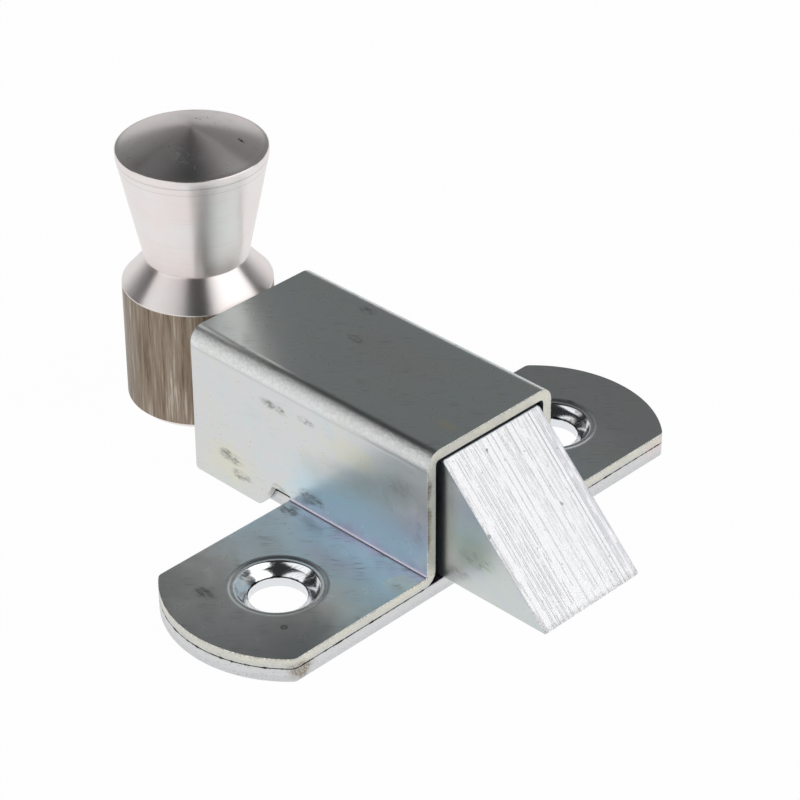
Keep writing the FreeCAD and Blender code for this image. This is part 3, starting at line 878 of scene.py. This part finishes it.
def zinc_sheet(settings):
    """Bright zinc: rainbow clouds, blue near the creases, scratches, scuffs, rubbed folds,
    painted reflection and shade.
    """
    f = Finish("zinc_sheet")
    _, top, roof, wall = sheet_levels(settings)
    hole, front = settings.holes / MM, COVER_HIGH.x / MM
    across, below_roof = abs(f.y), f.z - roof
    clouds = f.noise((0.17, 0.17, 0.2), shift=(3, 1, 5), detail=3, distortion=1.4)
    patches = f.noise(0.35, shift=(9, 2, 4), detail=4)
    grain = f.noise(5, detail=3, roughness=0.7)
    grit = f.noise(2.6, shift=(1, 8, 3), detail=4, roughness=0.75)
    tones = f.ramp(
        clouds, (0.30, (0.60, 0.66, 0.69)), (0.42, (0.64, 0.67, 0.66)),
        (0.50, (0.67, 0.65, 0.68)), (0.58, (0.67, 0.67, 0.62)), (0.70, (0.62, 0.67, 0.64)),
    )

    ear = f.step(f.z, top + 0.7, top + 0.2) * f.step(across, wall + 0.02, wall + 0.2)
    climb = (f.z - top) / 10.5
    out = (across - wall) / 19.0
    stretch = ear * out + (1 - ear) * climb + (clouds - 0.5) * 0.5
    film = f.ramp(
        stretch, (0.00, (0.60, 0.64, 0.76)), (0.08, (0.57, 0.69, 0.78)),
        (0.30, (0.54, 0.68, 0.76)), (0.50, (0.53, 0.62, 0.66)), (0.64, (0.50, 0.55, 0.55)),
        (0.80, (0.37, 0.40, 0.41)),
    )
    beside = f.step(f.x + 4 * clouds, -9.5, -4.5) * f.step(f.z - f.x * 0.25 + 3 * patches, 14, 10)
    near = f.step(f.y, 6, -6)
    lilac = f.blots(0.9, ((9, -9, 8), (5, 1, 4.5)), ((1, -13.5, 2.8), (7, 2.5, 1)))
    bronze = f.blots(
        0.9, ((-5, 2, 17.4), (9, 4.5, 1)), ((5, -20, 2.8), (4, 8, 1)), ragged=patches
    )
    straw = f.blots(
        0.8, ((7.3, -3.7, 17.4), (1.7, 1.0, 1)), ((-1, -9, 12.5), (5.5, 1, 2.2)),
        ((-19, -9, 3.2), (6, 1, 3.5)), ((9, -11.5, 2.8), (2.5, 2.5, 1)), ragged=patches,
    )

    scored = f.scratches(44, 2.4, 0.09, 0.30, 4) + f.scratches(58, 1.6, 0.07, 0.27, 11)
    along = f.scratches(-12, 2.2, 0.09, 0.27, 7, "y")
    flat = f.step(across, wall + 0.1, wall - 0.1) * f.step(below_roof, -0.45, -0.15)
    lines = scored * (flat + ear) + along * (1 - flat) * (1 - ear) * 0.3
    lines = lines * f.step(patches, 0.44, 0.56)
    flecks = f.step(f.spots(1.1), 0.12, 0.06) * f.step(clouds, 0.44, 0.52)
    scuffs = f.blots(
        0.8, ((-12.7, -9, 13.3), (2.0, 1, 0.7)), ((-10.9, -9, 13.3), (1.5, 1, 0.8)),
        ((-7.3, -9, 13.6), (1.6, 1, 0.6)), ((-17.9, -9, 3.9), (1.9, 1, 0.9)),
        ((-17.0, -9, 2.3), (2.4, 1, 0.8)), ((-19.6, -9, 4.0), (1.4, 1, 1.0)),
        ((-6.8, -9, 4.5), (2.4, 1, 1.0)), ((-11.3, -9, 3.3), (1.9, 1, 0.7)),
        ((-13.6, 6.4, 17.4), (2.0, 0.9, 1)), ((-10.5, 1.5, 17.4), (1.8, 0.7, 1)),
        ((-4.2, -26.2, 2.8), (2.0, 1.2, 1)), ((-8.6, -10.4, 2.8), (1.6, 1.2, 1)), ragged=patches,
    )
    worn = f.noise((1.1, 2.4, 3.0), shift=(8, 3, 3), detail=5, roughness=0.8)
    punch_mark = f.line(f.length(f.x - 5.4, f.y + 24.5), 0.24, 0.2, 0.1) * ear
    scuffs = scuffs * f.step(worn, 0.40, 0.62) + punch_mark
    smudge = f.blots(
        1.0, ((6.0, -9, 11.6), (2.6, 1, 2.1)), ((8.6, -9, 8), (1.2, 1, 4)), ragged=patches
    )
    smudge = smudge * f.step(grit, 0.36, 0.60)
    chips = f.blots(0.5, ((-22.4, -2.2, 17.4), (1.3, 1.0, 1))) * f.step(grit, 0.58, 0.63)

    bend = f.step(across, wall - 2.1, wall - 1.4) * f.step(below_roof, -2.15, -1.45)
    rubbed = bend * f.step(below_roof, -0.03, -0.35)
    pebbles = rubbed * f.step(grit, 0.40, 0.60)
    die_line = f.step(abs(below_roof + 2.1 - 0.12 * patches), 0.26, 0.06)
    die_line = die_line * f.step(across, wall - 0.2, wall - 0.1)
    # Lilac tint with painted shade along the crease at the foot of each wall
    crease_tint_and_shade = f.step(f.z, top + 0.45, top + 0.2) * f.step(across, wall + 0.5, wall + 0.2)
    crease_tint_and_shade = crease_tint_and_shade * f.step(f.x, -front - 0.1, 0.1 - front)
    reach = f.length(f.x, across - hole)
    seat = f.step(reach, 4.6, 4.35)

    shade = f.over(
        f.tint(0.5, tones, settings.zinc),
        (ear * (0.45 + 0.5 * near) + (1 - ear) * beside * 0.92, film),
        # Painted reflection: a greenish tint on the roof's top face
        (f.step(below_roof, -0.35, -0.05) * 0.6, (0.55, 0.63, 0.62)),
        (lilac * 0.45, (0.60, 0.55, 0.66)),
        (bronze * 0.35, (0.62, 0.57, 0.55)),
        (straw * 0.5, (0.70, 0.68, 0.52)),
        (lines * 0.5 + flecks * 0.4, (0.24, 0.25, 0.25)),
        (scuffs * 0.75 + smudge * 0.3, (0.20, 0.21, 0.20)),
        (die_line * 0.25, (0.36, 0.38, 0.38)),
        (rubbed * 0.35 + pebbles * 0.45 + chips, (0.88, 0.89, 0.88)),
        # Lilac tint and painted shade in the crease
        (crease_tint_and_shade * 0.5, (0.62, 0.55, 0.66)),
        (seat, (0.76, 0.78, 0.80)),
        # Painted highlight on the ring round each screw seat
        (f.line(reach, 4.88, 0.16, 0.04) * ear * 0.6, (0.86, 0.88, 0.88)),
        # Painted shade along the joint with the base plate
        (seam_shade(f, settings), SEAM_SHADE),
    )
    rough = 0.22 + 0.08 * patches + 0.15 * lines + 0.2 * scuffs + 0.16 * rubbed + 0.06 * grain
    relief = grain * 0.35 + pebbles * 2.5 - lines * 0.8 - scuffs - die_line * 1.5 + patches * 1.5
    return f.metal(shade, rough * (1 - 0.5 * seat), relief, 0.006)


def cut_edge(settings):
    """Sheared edge of plated sheet: streaks across its thickness, a rough break and stains."""
    f = Finish("cut_edge")
    base, top, roof, wall = sheet_levels(settings)
    upright = f.step(f.z, top + 0.2, top + 0.6) * f.step(f.z, roof - 1.25, roof - 1.65)
    flat_streaks = f.noise((6, 6, 0.9), detail=3, roughness=0.7)
    wall_streaks = f.noise((6, 0.9, 6), detail=3, roughness=0.7)
    streaks = upright * wall_streaks + (1 - upright) * flat_streaks
    patches = f.noise((0.5, 0.5, 0.7), shift=(2, 7, 1), detail=3)
    grit = f.noise(5, shift=(6, 1, 2), detail=3, roughness=0.75)
    broken = f.step(f.z, base - 0.75, base - 1.0)
    broken = broken + f.step(f.z, top - 0.6, top - 0.8) * f.step(f.z, base, base + 0.05)
    cream = f.step(patches, 0.40, 0.62) * f.step(f.z, base, base + 0.15)
    burrs = f.step(grit, 0.60, 0.66)
    pits = f.step(grit, 0.39, 0.34)
    lip = f.step(f.z, top - 0.25, top - 0.12) * f.step(f.z, top + 0.2, top + 0.05)
    lip = lip + f.step(abs(f.y), wall - 0.2, wall - 0.1) * upright
    lip = lip + f.step(f.z, roof - 0.25, roof - 0.10)
    stains = f.blots(
        0.9, ((9.5, -26.4, 1.2), (2.6, 2.6, 1.7)), ((9.8, -8.9, 13.4), (1, 0.8, 2.0)),
        ((9.8, -8.9, 10.2), (1, 0.7, 2.2)), ((9.8, -8.9, 7.2), (1, 0.55, 1.6)),
        ((-9.5, -24, 1.6), (1, 1.5, 1)), ragged=patches,
    )
    blush = f.blots(0.9, ((9.8, 26, 1.6), (1.5, 3.5, 1.6)))
    pale = settings.cut_edge
    shade = f.over(
        f.tint(streaks, tuple(c * 0.82 for c in pale), pale),
        (cream * 0.5, (0.78, 0.76, 0.63)),
        (f.step(f.z, base + 0.08, base) * 0.6, (0.70, 0.71, 0.76)),
        (broken * 0.35, (0.64, 0.66, 0.68)),
        (burrs * 0.8, (0.95, 0.95, 0.93)),
        (lip * f.step(grit, 0.53, 0.47) * 0.6, (0.30, 0.29, 0.26)),
        (lip * f.step(grit, 0.54, 0.58), (0.96, 0.96, 0.93)),
        (pits * 0.6, (0.22, 0.21, 0.19)),
        (stains * f.step(grit, 0.36, 0.56) * 0.9, (0.22, 0.16, 0.10)),
        (blush * 0.4, (0.80, 0.66, 0.62)),
        # Painted shade along the joint with the base plate
        (seam_shade(f, settings), SEAM_SHADE),
    )
    rough = 0.34 + 0.16 * streaks + 0.1 * broken
    return f.metal(shade, rough, streaks + burrs * 1.2 - pits, 0.02)


def plated_bar(settings):
    """Satin plated bar: blue-grey and greenish clouds, pits, a few dark rubs and a painted
    reflection of the ear.
    """
    f = Finish("plated_bar")
    grain = f.noise(5, detail=4, roughness=0.7)
    grit = f.noise(2.4, shift=(5, 2, 2), detail=4, roughness=0.75)
    clouds = f.noise(0.2, shift=(5, 5, 2), detail=3, distortion=0.8)
    tones = f.ramp(
        clouds, (0.35, (0.54, 0.60, 0.66)), (0.5, (0.57, 0.63, 0.59)), (0.65, (0.66, 0.64, 0.66))
    )
    # Painted reflection of the ear: greenish patches on both sides of the bolt
    painted_ear_reflection = f.blots(0.9, ((14, -7, 7), (5, 1, 3.5)), ((16, 7, 6), (5, 1, 4)))
    pits = f.step(f.spots(1.8), 0.15, 0.08) * f.step(clouds, 0.46, 0.56)
    rubs = f.blots(
        0.9, ((14.5, -7, 6.3), (3.5, 1, 1.3)), ((12, -7, 3.6), (2.5, 1, 1)), ragged=clouds
    )
    smears = f.noise((1.0, 3.0, 2.6), (0, 25, 0), (3, 1, 2), detail=5, roughness=0.75)
    rubs = rubs * f.step(smears, 0.40, 0.62)
    shade = f.over(
        f.tint(0.5, tones, settings.steel),
        # Painted reflection of the ear: greenish patches, and bluer towards the top of the sides
        (painted_ear_reflection * 0.7, (0.46, 0.54, 0.48)),
        (f.step(f.z, 8.5, 11.5) * 0.6, (0.50, 0.55, 0.62)),
        (pits * 0.5 + rubs * 0.55, (0.22, 0.24, 0.23)),
    )
    return f.metal(shade, 0.27 + 0.12 * grain + 0.1 * rubs, grain + grit - pits * 2, 0.007)


def milled_face(settings):
    """Bright bevel with fine lines down its slope, a sparkling grain, pits, nicked edges and
    painted shade at one side.
    """
    f = Finish("milled_face")
    side, nose = BOLT_HIGH.y / MM, BOLT_HIGH.x / MM
    across = f.y + 0.012 * f.x
    fine = f.noise(f.vector(f.x * 0.012, across * 6, 3), detail=3, roughness=0.7)
    slow = f.noise(f.vector(f.x * 0.004, across * 1.3 + 7, 1), detail=3)
    broken = f.noise((0.5, 2.5, 0.5), shift=(1, 4, 6), detail=3)
    thin = f.line(slow, 0.5, 0.02, 0.004) + f.line(slow, 0.56, 0.02, 0.004)
    thin = thin * f.step(broken, 0.36, 0.50)
    pair = f.line(across, 5.35, 0.09, 0.03) + f.line(across, 5.9, 0.07, 0.03)
    grain = f.noise(4.5, shift=(2, 2, 2), detail=3, roughness=0.8)
    sparkle = f.step(grain, 0.50, 0.66)
    dark_grain = f.step(grain, 0.42, 0.34)
    pits = f.step(f.spots(0.9), 0.10, 0.05)
    nicks = f.blots(
        0.6, ((10.8, -1.6, 15.0), (0.2, 0.2, 0.2)), ((16.8, 3.1, 9.2), (0.35, 0.25, 0.35)),
        ((17.8, -0.4, 8.3), (0.3, 0.25, 0.3)), ((16.1, -6.9, 9.9), (0.35, 0.45, 0.35)),
        ((21.5, 4.5, 4.8), (0.3, 0.3, 0.3)), ragged=grain,
    )
    # Painted shade: a lilac darkening along the bevel's +Y edge
    lilac = f.step(f.y, side - 2, side - 0.8) * f.step(broken, 0.3, 0.6)
    rim = f.step(abs(f.y), side - 0.28, side - 0.1) + f.step(f.x, nose - 0.4, nose - 0.1)
    shade = f.over(
        f.tint(f.step(fine, 0.36, 0.60), (0.73, 0.735, 0.75), settings.milled),
        (sparkle * 0.5, (0.97, 0.97, 0.97)),
        # Painted shade near the +Y edge
        (lilac * 0.3, (0.66, 0.66, 0.74)),
        (thin * 0.5 + pair * 0.55, (0.42, 0.42, 0.43)),
        (pits * 0.6 + nicks * 0.8 + dark_grain * 0.25, (0.30, 0.30, 0.31)),
        (rim * f.step(grain, 0.40, 0.60) * 0.6, (0.34, 0.34, 0.35)),
    )
    relief = fine + sparkle * 0.6 - thin - pair - pits - nicks * 2
    return f.metal(shade, 0.36 + 0.12 * fine, relief, 0.009)


def turned_knob(settings):
    """Turned aluminium, with the streaked skin of the drawn bar left on the foot, whose brown is
    a painted reflection.
    """
    f = Finish("turned_knob")
    across = f.x - KNOB_AXIS / MM
    radius = f.length(across, f.y)
    foot, bottom = settings.foot / MM, KNOB_LOW.z / MM
    foot_top = bottom + settings.foot_height / MM
    rim = (KNOB_HIGH.z - settings.crown - settings.rim) / MM
    skin = f.step(f.z, bottom + 0.7, bottom + 0.8) * f.step(f.z, foot_top - 0.02, foot_top - 0.16)
    skin = skin * f.step(radius, foot - 0.10, foot - 0.03)

    def streaks(fineness, run, seed):
        turned = f.vector(across / radius * fineness, f.y / radius * fineness, f.z / run + seed)
        return f.noise(turned, detail=4, roughness=0.65)

    broad, thin = streaks(7, 14.0, 3), streaks(30, 6.0, 8)
    # Streaks of the drawn bar, in browns that are a painted reflection
    drawn = f.ramp(
        broad * 0.5 + thin * 0.5, (0.34, (0.10, 0.075, 0.055)), (0.46, settings.skin),
        (0.56, (0.34, 0.28, 0.22)), (0.68, (0.66, 0.60, 0.54)),
    )
    rings = f.noise(f.vector(radius * 5, radius * 5, f.z * 6), detail=3, roughness=0.8)
    soft = f.noise(0.25, shift=(2, 2, 8), detail=3)
    mottle = f.noise(3, shift=(7, 5, 1), detail=4, roughness=0.8)
    grooves = f.line(f.z, rim - 0.1, 0.10, 0.03) + f.line(f.z, rim - 0.9, 0.06, 0)
    nicks = f.scratches(30, 1.5, 0.12, 0.23, 6) + f.scratches(-35, 1.2, 0.10, 0.22, 2)
    nicks = nicks * f.step(soft, 0.44, 0.54) * f.step(f.z, rim + 0.8, rim + 1.0)
    dents = f.blots(
        0.7, ((-34.5, 2.2, 34), (1.1, 0.22, 1)), ((-33.0, -6.9, 31.6), (0.8, 0.8, 0.5)),
        ((-28.5, 3.0, 33.2), (0.7, 0.3, 1)), ((-27.9, -3.6, 31.5), (0.5, 0.5, 0.5)),
        ((-28.2, -3.2, 27.5), (0.4, 0.6, 1.8)), ((-30.5, -7.9, 9.3), (1.0, 0.6, 0.12)),
        ragged=soft,
    )
    speckled = f.blots(0.9, ((-30.0, -3.5, 33.2), (3.4, 2.6, 1.6))) * f.step(mottle, 0.5, 0.6)
    pinkish = tuple(c * t for c, t in zip(settings.turned, (1.0, 0.955, 0.945)))
    shade = f.over(
        f.tint(f.step(soft, 0.35, 0.65), pinkish, settings.turned),
        (f.step(rings, 0.42, 0.36) * 0.18, (0.42, 0.41, 0.41)),
        (grooves * 0.45, (0.34, 0.33, 0.33)),
        (nicks * 0.7 + dents * f.step(mottle, 0.42, 0.52), (0.16, 0.16, 0.16)),
        (speckled * 0.4, (0.95, 0.95, 0.95)),
        # Foot: drawn streaks with a painted brown reflection
        (skin, drawn),
    )
    rough = 0.30 + 0.05 * soft + 0.1 * nicks + 0.10 * skin + 0.1 * speckled
    relief = (1 - skin) * (rings * 0.5 - nicks - grooves) + skin * thin * 1.5 - dents
    gloss = {"Anisotropic": 0.85, "Anisotropic Rotation": 0.25}
    return f.metal(shade, rough, relief, 0.006, gloss)


def plated_rod(settings):
    """Bright plated rod with fine turning lines."""
    f = Finish("plated_rod")
    lines = f.noise((8, 0.3, 0.3), detail=3, roughness=0.7)
    shade = f.tint(lines, (0.52, 0.54, 0.55), settings.steel)
    return f.metal(shade, 0.25 + 0.12 * lines, lines, 0.006)


def spring_wire(settings):
    """Drawn spring wire, oiled and slightly darkened."""
    f = Finish("spring_wire")
    grain = f.noise(5, detail=3, roughness=0.7)
    dark = tuple(c * 0.7 for c in settings.wire_steel)
    shade = f.tint(f.noise(0.8), dark, settings.wire_steel)
    return f.metal(shade, 0.30 + 0.15 * grain, grain, 0.006)


def pale_floor(settings):
    """Lit white table: it looks white to the camera and in metal, and keeps a soft shadow."""
    f = Finish("pale_floor")
    tone = f.noise(0.01, detail=1)
    shade = f.tint(tone, settings.floor, tuple(c * 0.985 for c in settings.floor))
    plain = f.node("ShaderNodeBsdfDiffuse", inputs={"Color": shade})
    glow = f.node("ShaderNodeEmission", inputs={"Color": (1.0, 1.0, 1.0, 1.0), "Strength": 1.0})
    rays = f.node("ShaderNodeLightPath").socket.node.outputs
    names = ("Is Camera Ray", "Is Glossy Ray", "Is Transmission Ray")
    seen = sum(Wire(f, rays[name]) for name in names)
    share = f.math("MINIMUM", seen, 1.0) * settings.glow
    mixed = f.node("ShaderNodeMixShader", inputs={0: share, 1: plain, 2: glow})
    f.tree.links.new(mixed.socket, f.end.inputs["Surface"])
    return f.material


# Stage


# Azimuth and elevation in degrees, distance and size in metres, and radiance of each lamp
LAMPS = {
    "right": (116.5, 41, 0.8, (1.0, 0.68), 1.65),
    "left": (-14, 35, 0.8, (0.97, 0.5), 1.15),
    "behind": (-136, 23, 0.9, (1.6, 0.95), 0.185),
}


def towards(azimuth, elevation):
    """Direction from the part, with the azimuth from -Y towards +X."""
    flat = math.cos(elevation)
    return Vector((math.sin(azimuth) * flat, -math.cos(azimuth) * flat, math.sin(elevation)))


def softbox(name, azimuth, elevation, distance, size, radiance):
    """Lamp that faces the part from angles in degrees, as bright as a surface of its radiance."""
    lamp = bpy.data.lights.new(name, "AREA")
    lamp.shape = "RECTANGLE"
    lamp.size, lamp.size_y = size
    lamp.energy = radiance * math.pi * size[0] * size[1]
    back = towards(math.radians(azimuth), math.radians(elevation))
    item = bpy.data.objects.new(name, lamp)
    item.location = back * distance
    item.rotation_euler = back.to_track_quat("Z", "Y").to_euler()
    bpy.context.scene.collection.objects.link(item)


def build_floor(settings):
    """Round floor just under the part, whose rim sweeps up so that the room shows only above."""
    floor = primitive(
        "floor", bpy.ops.mesh.primitive_circle_add, vertices=96, radius=0.75,
        fill_type="NGON", location=(0, 0, -0.02 * MM),
    )
    settle(floor)
    edit(floor)
    pick("EDGE", lambda e: True)
    # Metres up, and how much wider each ring is than the last
    for rise, widen in ((0.01, 1.12), (0.04, 1.10), (0.07, 1.05), (0.10, 1.02)):
        extrude(0, 0, rise)
        bpy.ops.transform.resize(value=(widen, widen, 1), center_override=(0, 0, 0))
    done()
    bpy.ops.object.shade_smooth()
    dress(floor, pale_floor(settings))


def build_camera(settings):
    back = towards(settings.azimuth, settings.elevation)
    right = Vector((math.cos(settings.azimuth), math.sin(settings.azimuth), 0))
    up = back.cross(right)
    c, s = math.cos(settings.roll), math.sin(settings.roll)
    right, up = right * c + up * s, up * c - right * s
    place = Vector(settings.target) + back * settings.distance
    camera = bpy.data.objects.new("camera", bpy.data.cameras.new("camera"))
    camera.data.lens = settings.focal
    camera.data.clip_start = 0.01
    turn = Matrix((right, up, back)).transposed()
    camera.matrix_world = Matrix.Translation(place) @ turn.to_4x4()
    bpy.context.scene.collection.objects.link(camera)
    bpy.context.scene.camera = camera


def build_world(settings):
    world = bpy.data.worlds.new("room")
    world.use_nodes = True
    background = world.node_tree.nodes["Background"].inputs
    background["Color"].default_value = (*settings.surround, 1)
    background["Strength"].default_value = 1.0
    bpy.context.scene.world = world


# Operators and panel


class DOORBOLT_OT_cover(Operator):
    """Fold the cover and press its screw seats"""

    bl_idname = "door_bolt.cover"
    bl_label = "Build cover"

    def execute(self, context):
        piece = build_cover(context.scene.door_bolt_sheet)
        belongs(piece, "housing", "housing_cover")
        return {"FINISHED"}


class DOORBOLT_OT_plate(Operator):
    """Cut and bend the base plate"""

    bl_idname = "door_bolt.plate"
    bl_label = "Build base plate"

    def execute(self, context):
        piece = build_plate(context.scene.door_bolt_sheet)
        belongs(piece, "housing", "base_plate")
        return {"FINISHED"}


class DOORBOLT_OT_bolt(Operator):
    """Mill the sliding bolt"""

    bl_idname = "door_bolt.bolt"
    bl_label = "Build bolt"

    def execute(self, context):
        piece = build_bolt(context.scene.door_bolt_bolt)
        belongs(piece, "bolt", "latch_bolt")
        return {"FINISHED"}


class DOORBOLT_OT_rod(Operator):
    """Turn and thread the rod"""

    bl_idname = "door_bolt.rod"
    bl_label = "Build rod"

    def execute(self, context):
        piece = build_rod(context.scene.door_bolt_bolt)
        belongs(piece, "bolt", "bolt_rod")
        return {"FINISHED"}


class DOORBOLT_OT_spring(Operator):
    """Wind the return spring"""

    bl_idname = "door_bolt.spring"
    bl_label = "Build spring"

    def execute(self, context):
        settings = context.scene.door_bolt_spring
        piece = build_spring(settings)
        belongs(piece, "housing", "return_spring")
        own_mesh(piece)
        return {"FINISHED"}


class DOORBOLT_OT_knob(Operator):
    """Turn the pull knob"""

    bl_idname = "door_bolt.knob"
    bl_label = "Build knob"

    def execute(self, context):
        piece = build_knob(context.scene.door_bolt_knob)
        belongs(piece, "bolt", "pull_knob")
        return {"FINISHED"}


class DOORBOLT_OT_stage(Operator):
    """Set up the floor, the lamps and the camera"""

    bl_idname = "door_bolt.stage"
    bl_label = "Build stage"

    def execute(self, context):
        settings = context.scene.door_bolt_stage
        build_floor(settings)
        build_world(settings)
        for name, placed in LAMPS.items():
            softbox(name, *placed)
        build_camera(settings)
        context.scene.view_settings.view_transform = "Standard"
        return {"FINISHED"}


class DOORBOLT_PT_panel(Panel):
    """Sizes and build steps of the door bolt"""

    bl_label = "Door Bolt"
    bl_space_type = "VIEW_3D"
    bl_region_type = "UI"
    bl_category = "Door Bolt"

    def draw(self, context):
        for group in SETTINGS:
            box = self.layout.box()
            box.label(text=group.__doc__)
            settings = getattr(context.scene, SETTINGS[group])
            for name in group.__annotations__:
                box.prop(settings, name)
        for step in STEPS:
            self.layout.operator(step.bl_idname)


SETTINGS = {
    SheetSettings: "door_bolt_sheet",
    BoltSettings: "door_bolt_bolt",
    SpringSettings: "door_bolt_spring",
    KnobSettings: "door_bolt_knob",
    StageSettings: "door_bolt_stage",
}
STEPS = (
    DOORBOLT_OT_cover,
    DOORBOLT_OT_plate,
    DOORBOLT_OT_bolt,
    DOORBOLT_OT_rod,
    DOORBOLT_OT_spring,
    DOORBOLT_OT_knob,
    DOORBOLT_OT_stage,
)


def register():
    for group, name in SETTINGS.items():
        bpy.utils.register_class(group)
        setattr(bpy.types.Scene, name, PointerProperty(type=group))
    for made in (*STEPS, DOORBOLT_PT_panel):
        bpy.utils.register_class(made)


def unregister():
    for made in (*STEPS, DOORBOLT_PT_panel):
        bpy.utils.unregister_class(made)
    for group, name in SETTINGS.items():
        delattr(bpy.types.Scene, name)
        bpy.utils.unregister_class(group)


def main():
    register()
    bpy.ops.door_bolt.cover()
    bpy.ops.door_bolt.plate()
    bpy.ops.door_bolt.bolt()
    bpy.ops.door_bolt.rod()
    bpy.ops.door_bolt.spring()
    bpy.ops.door_bolt.knob()
    bpy.ops.door_bolt.stage()


if __name__ == "__main__":
    main()
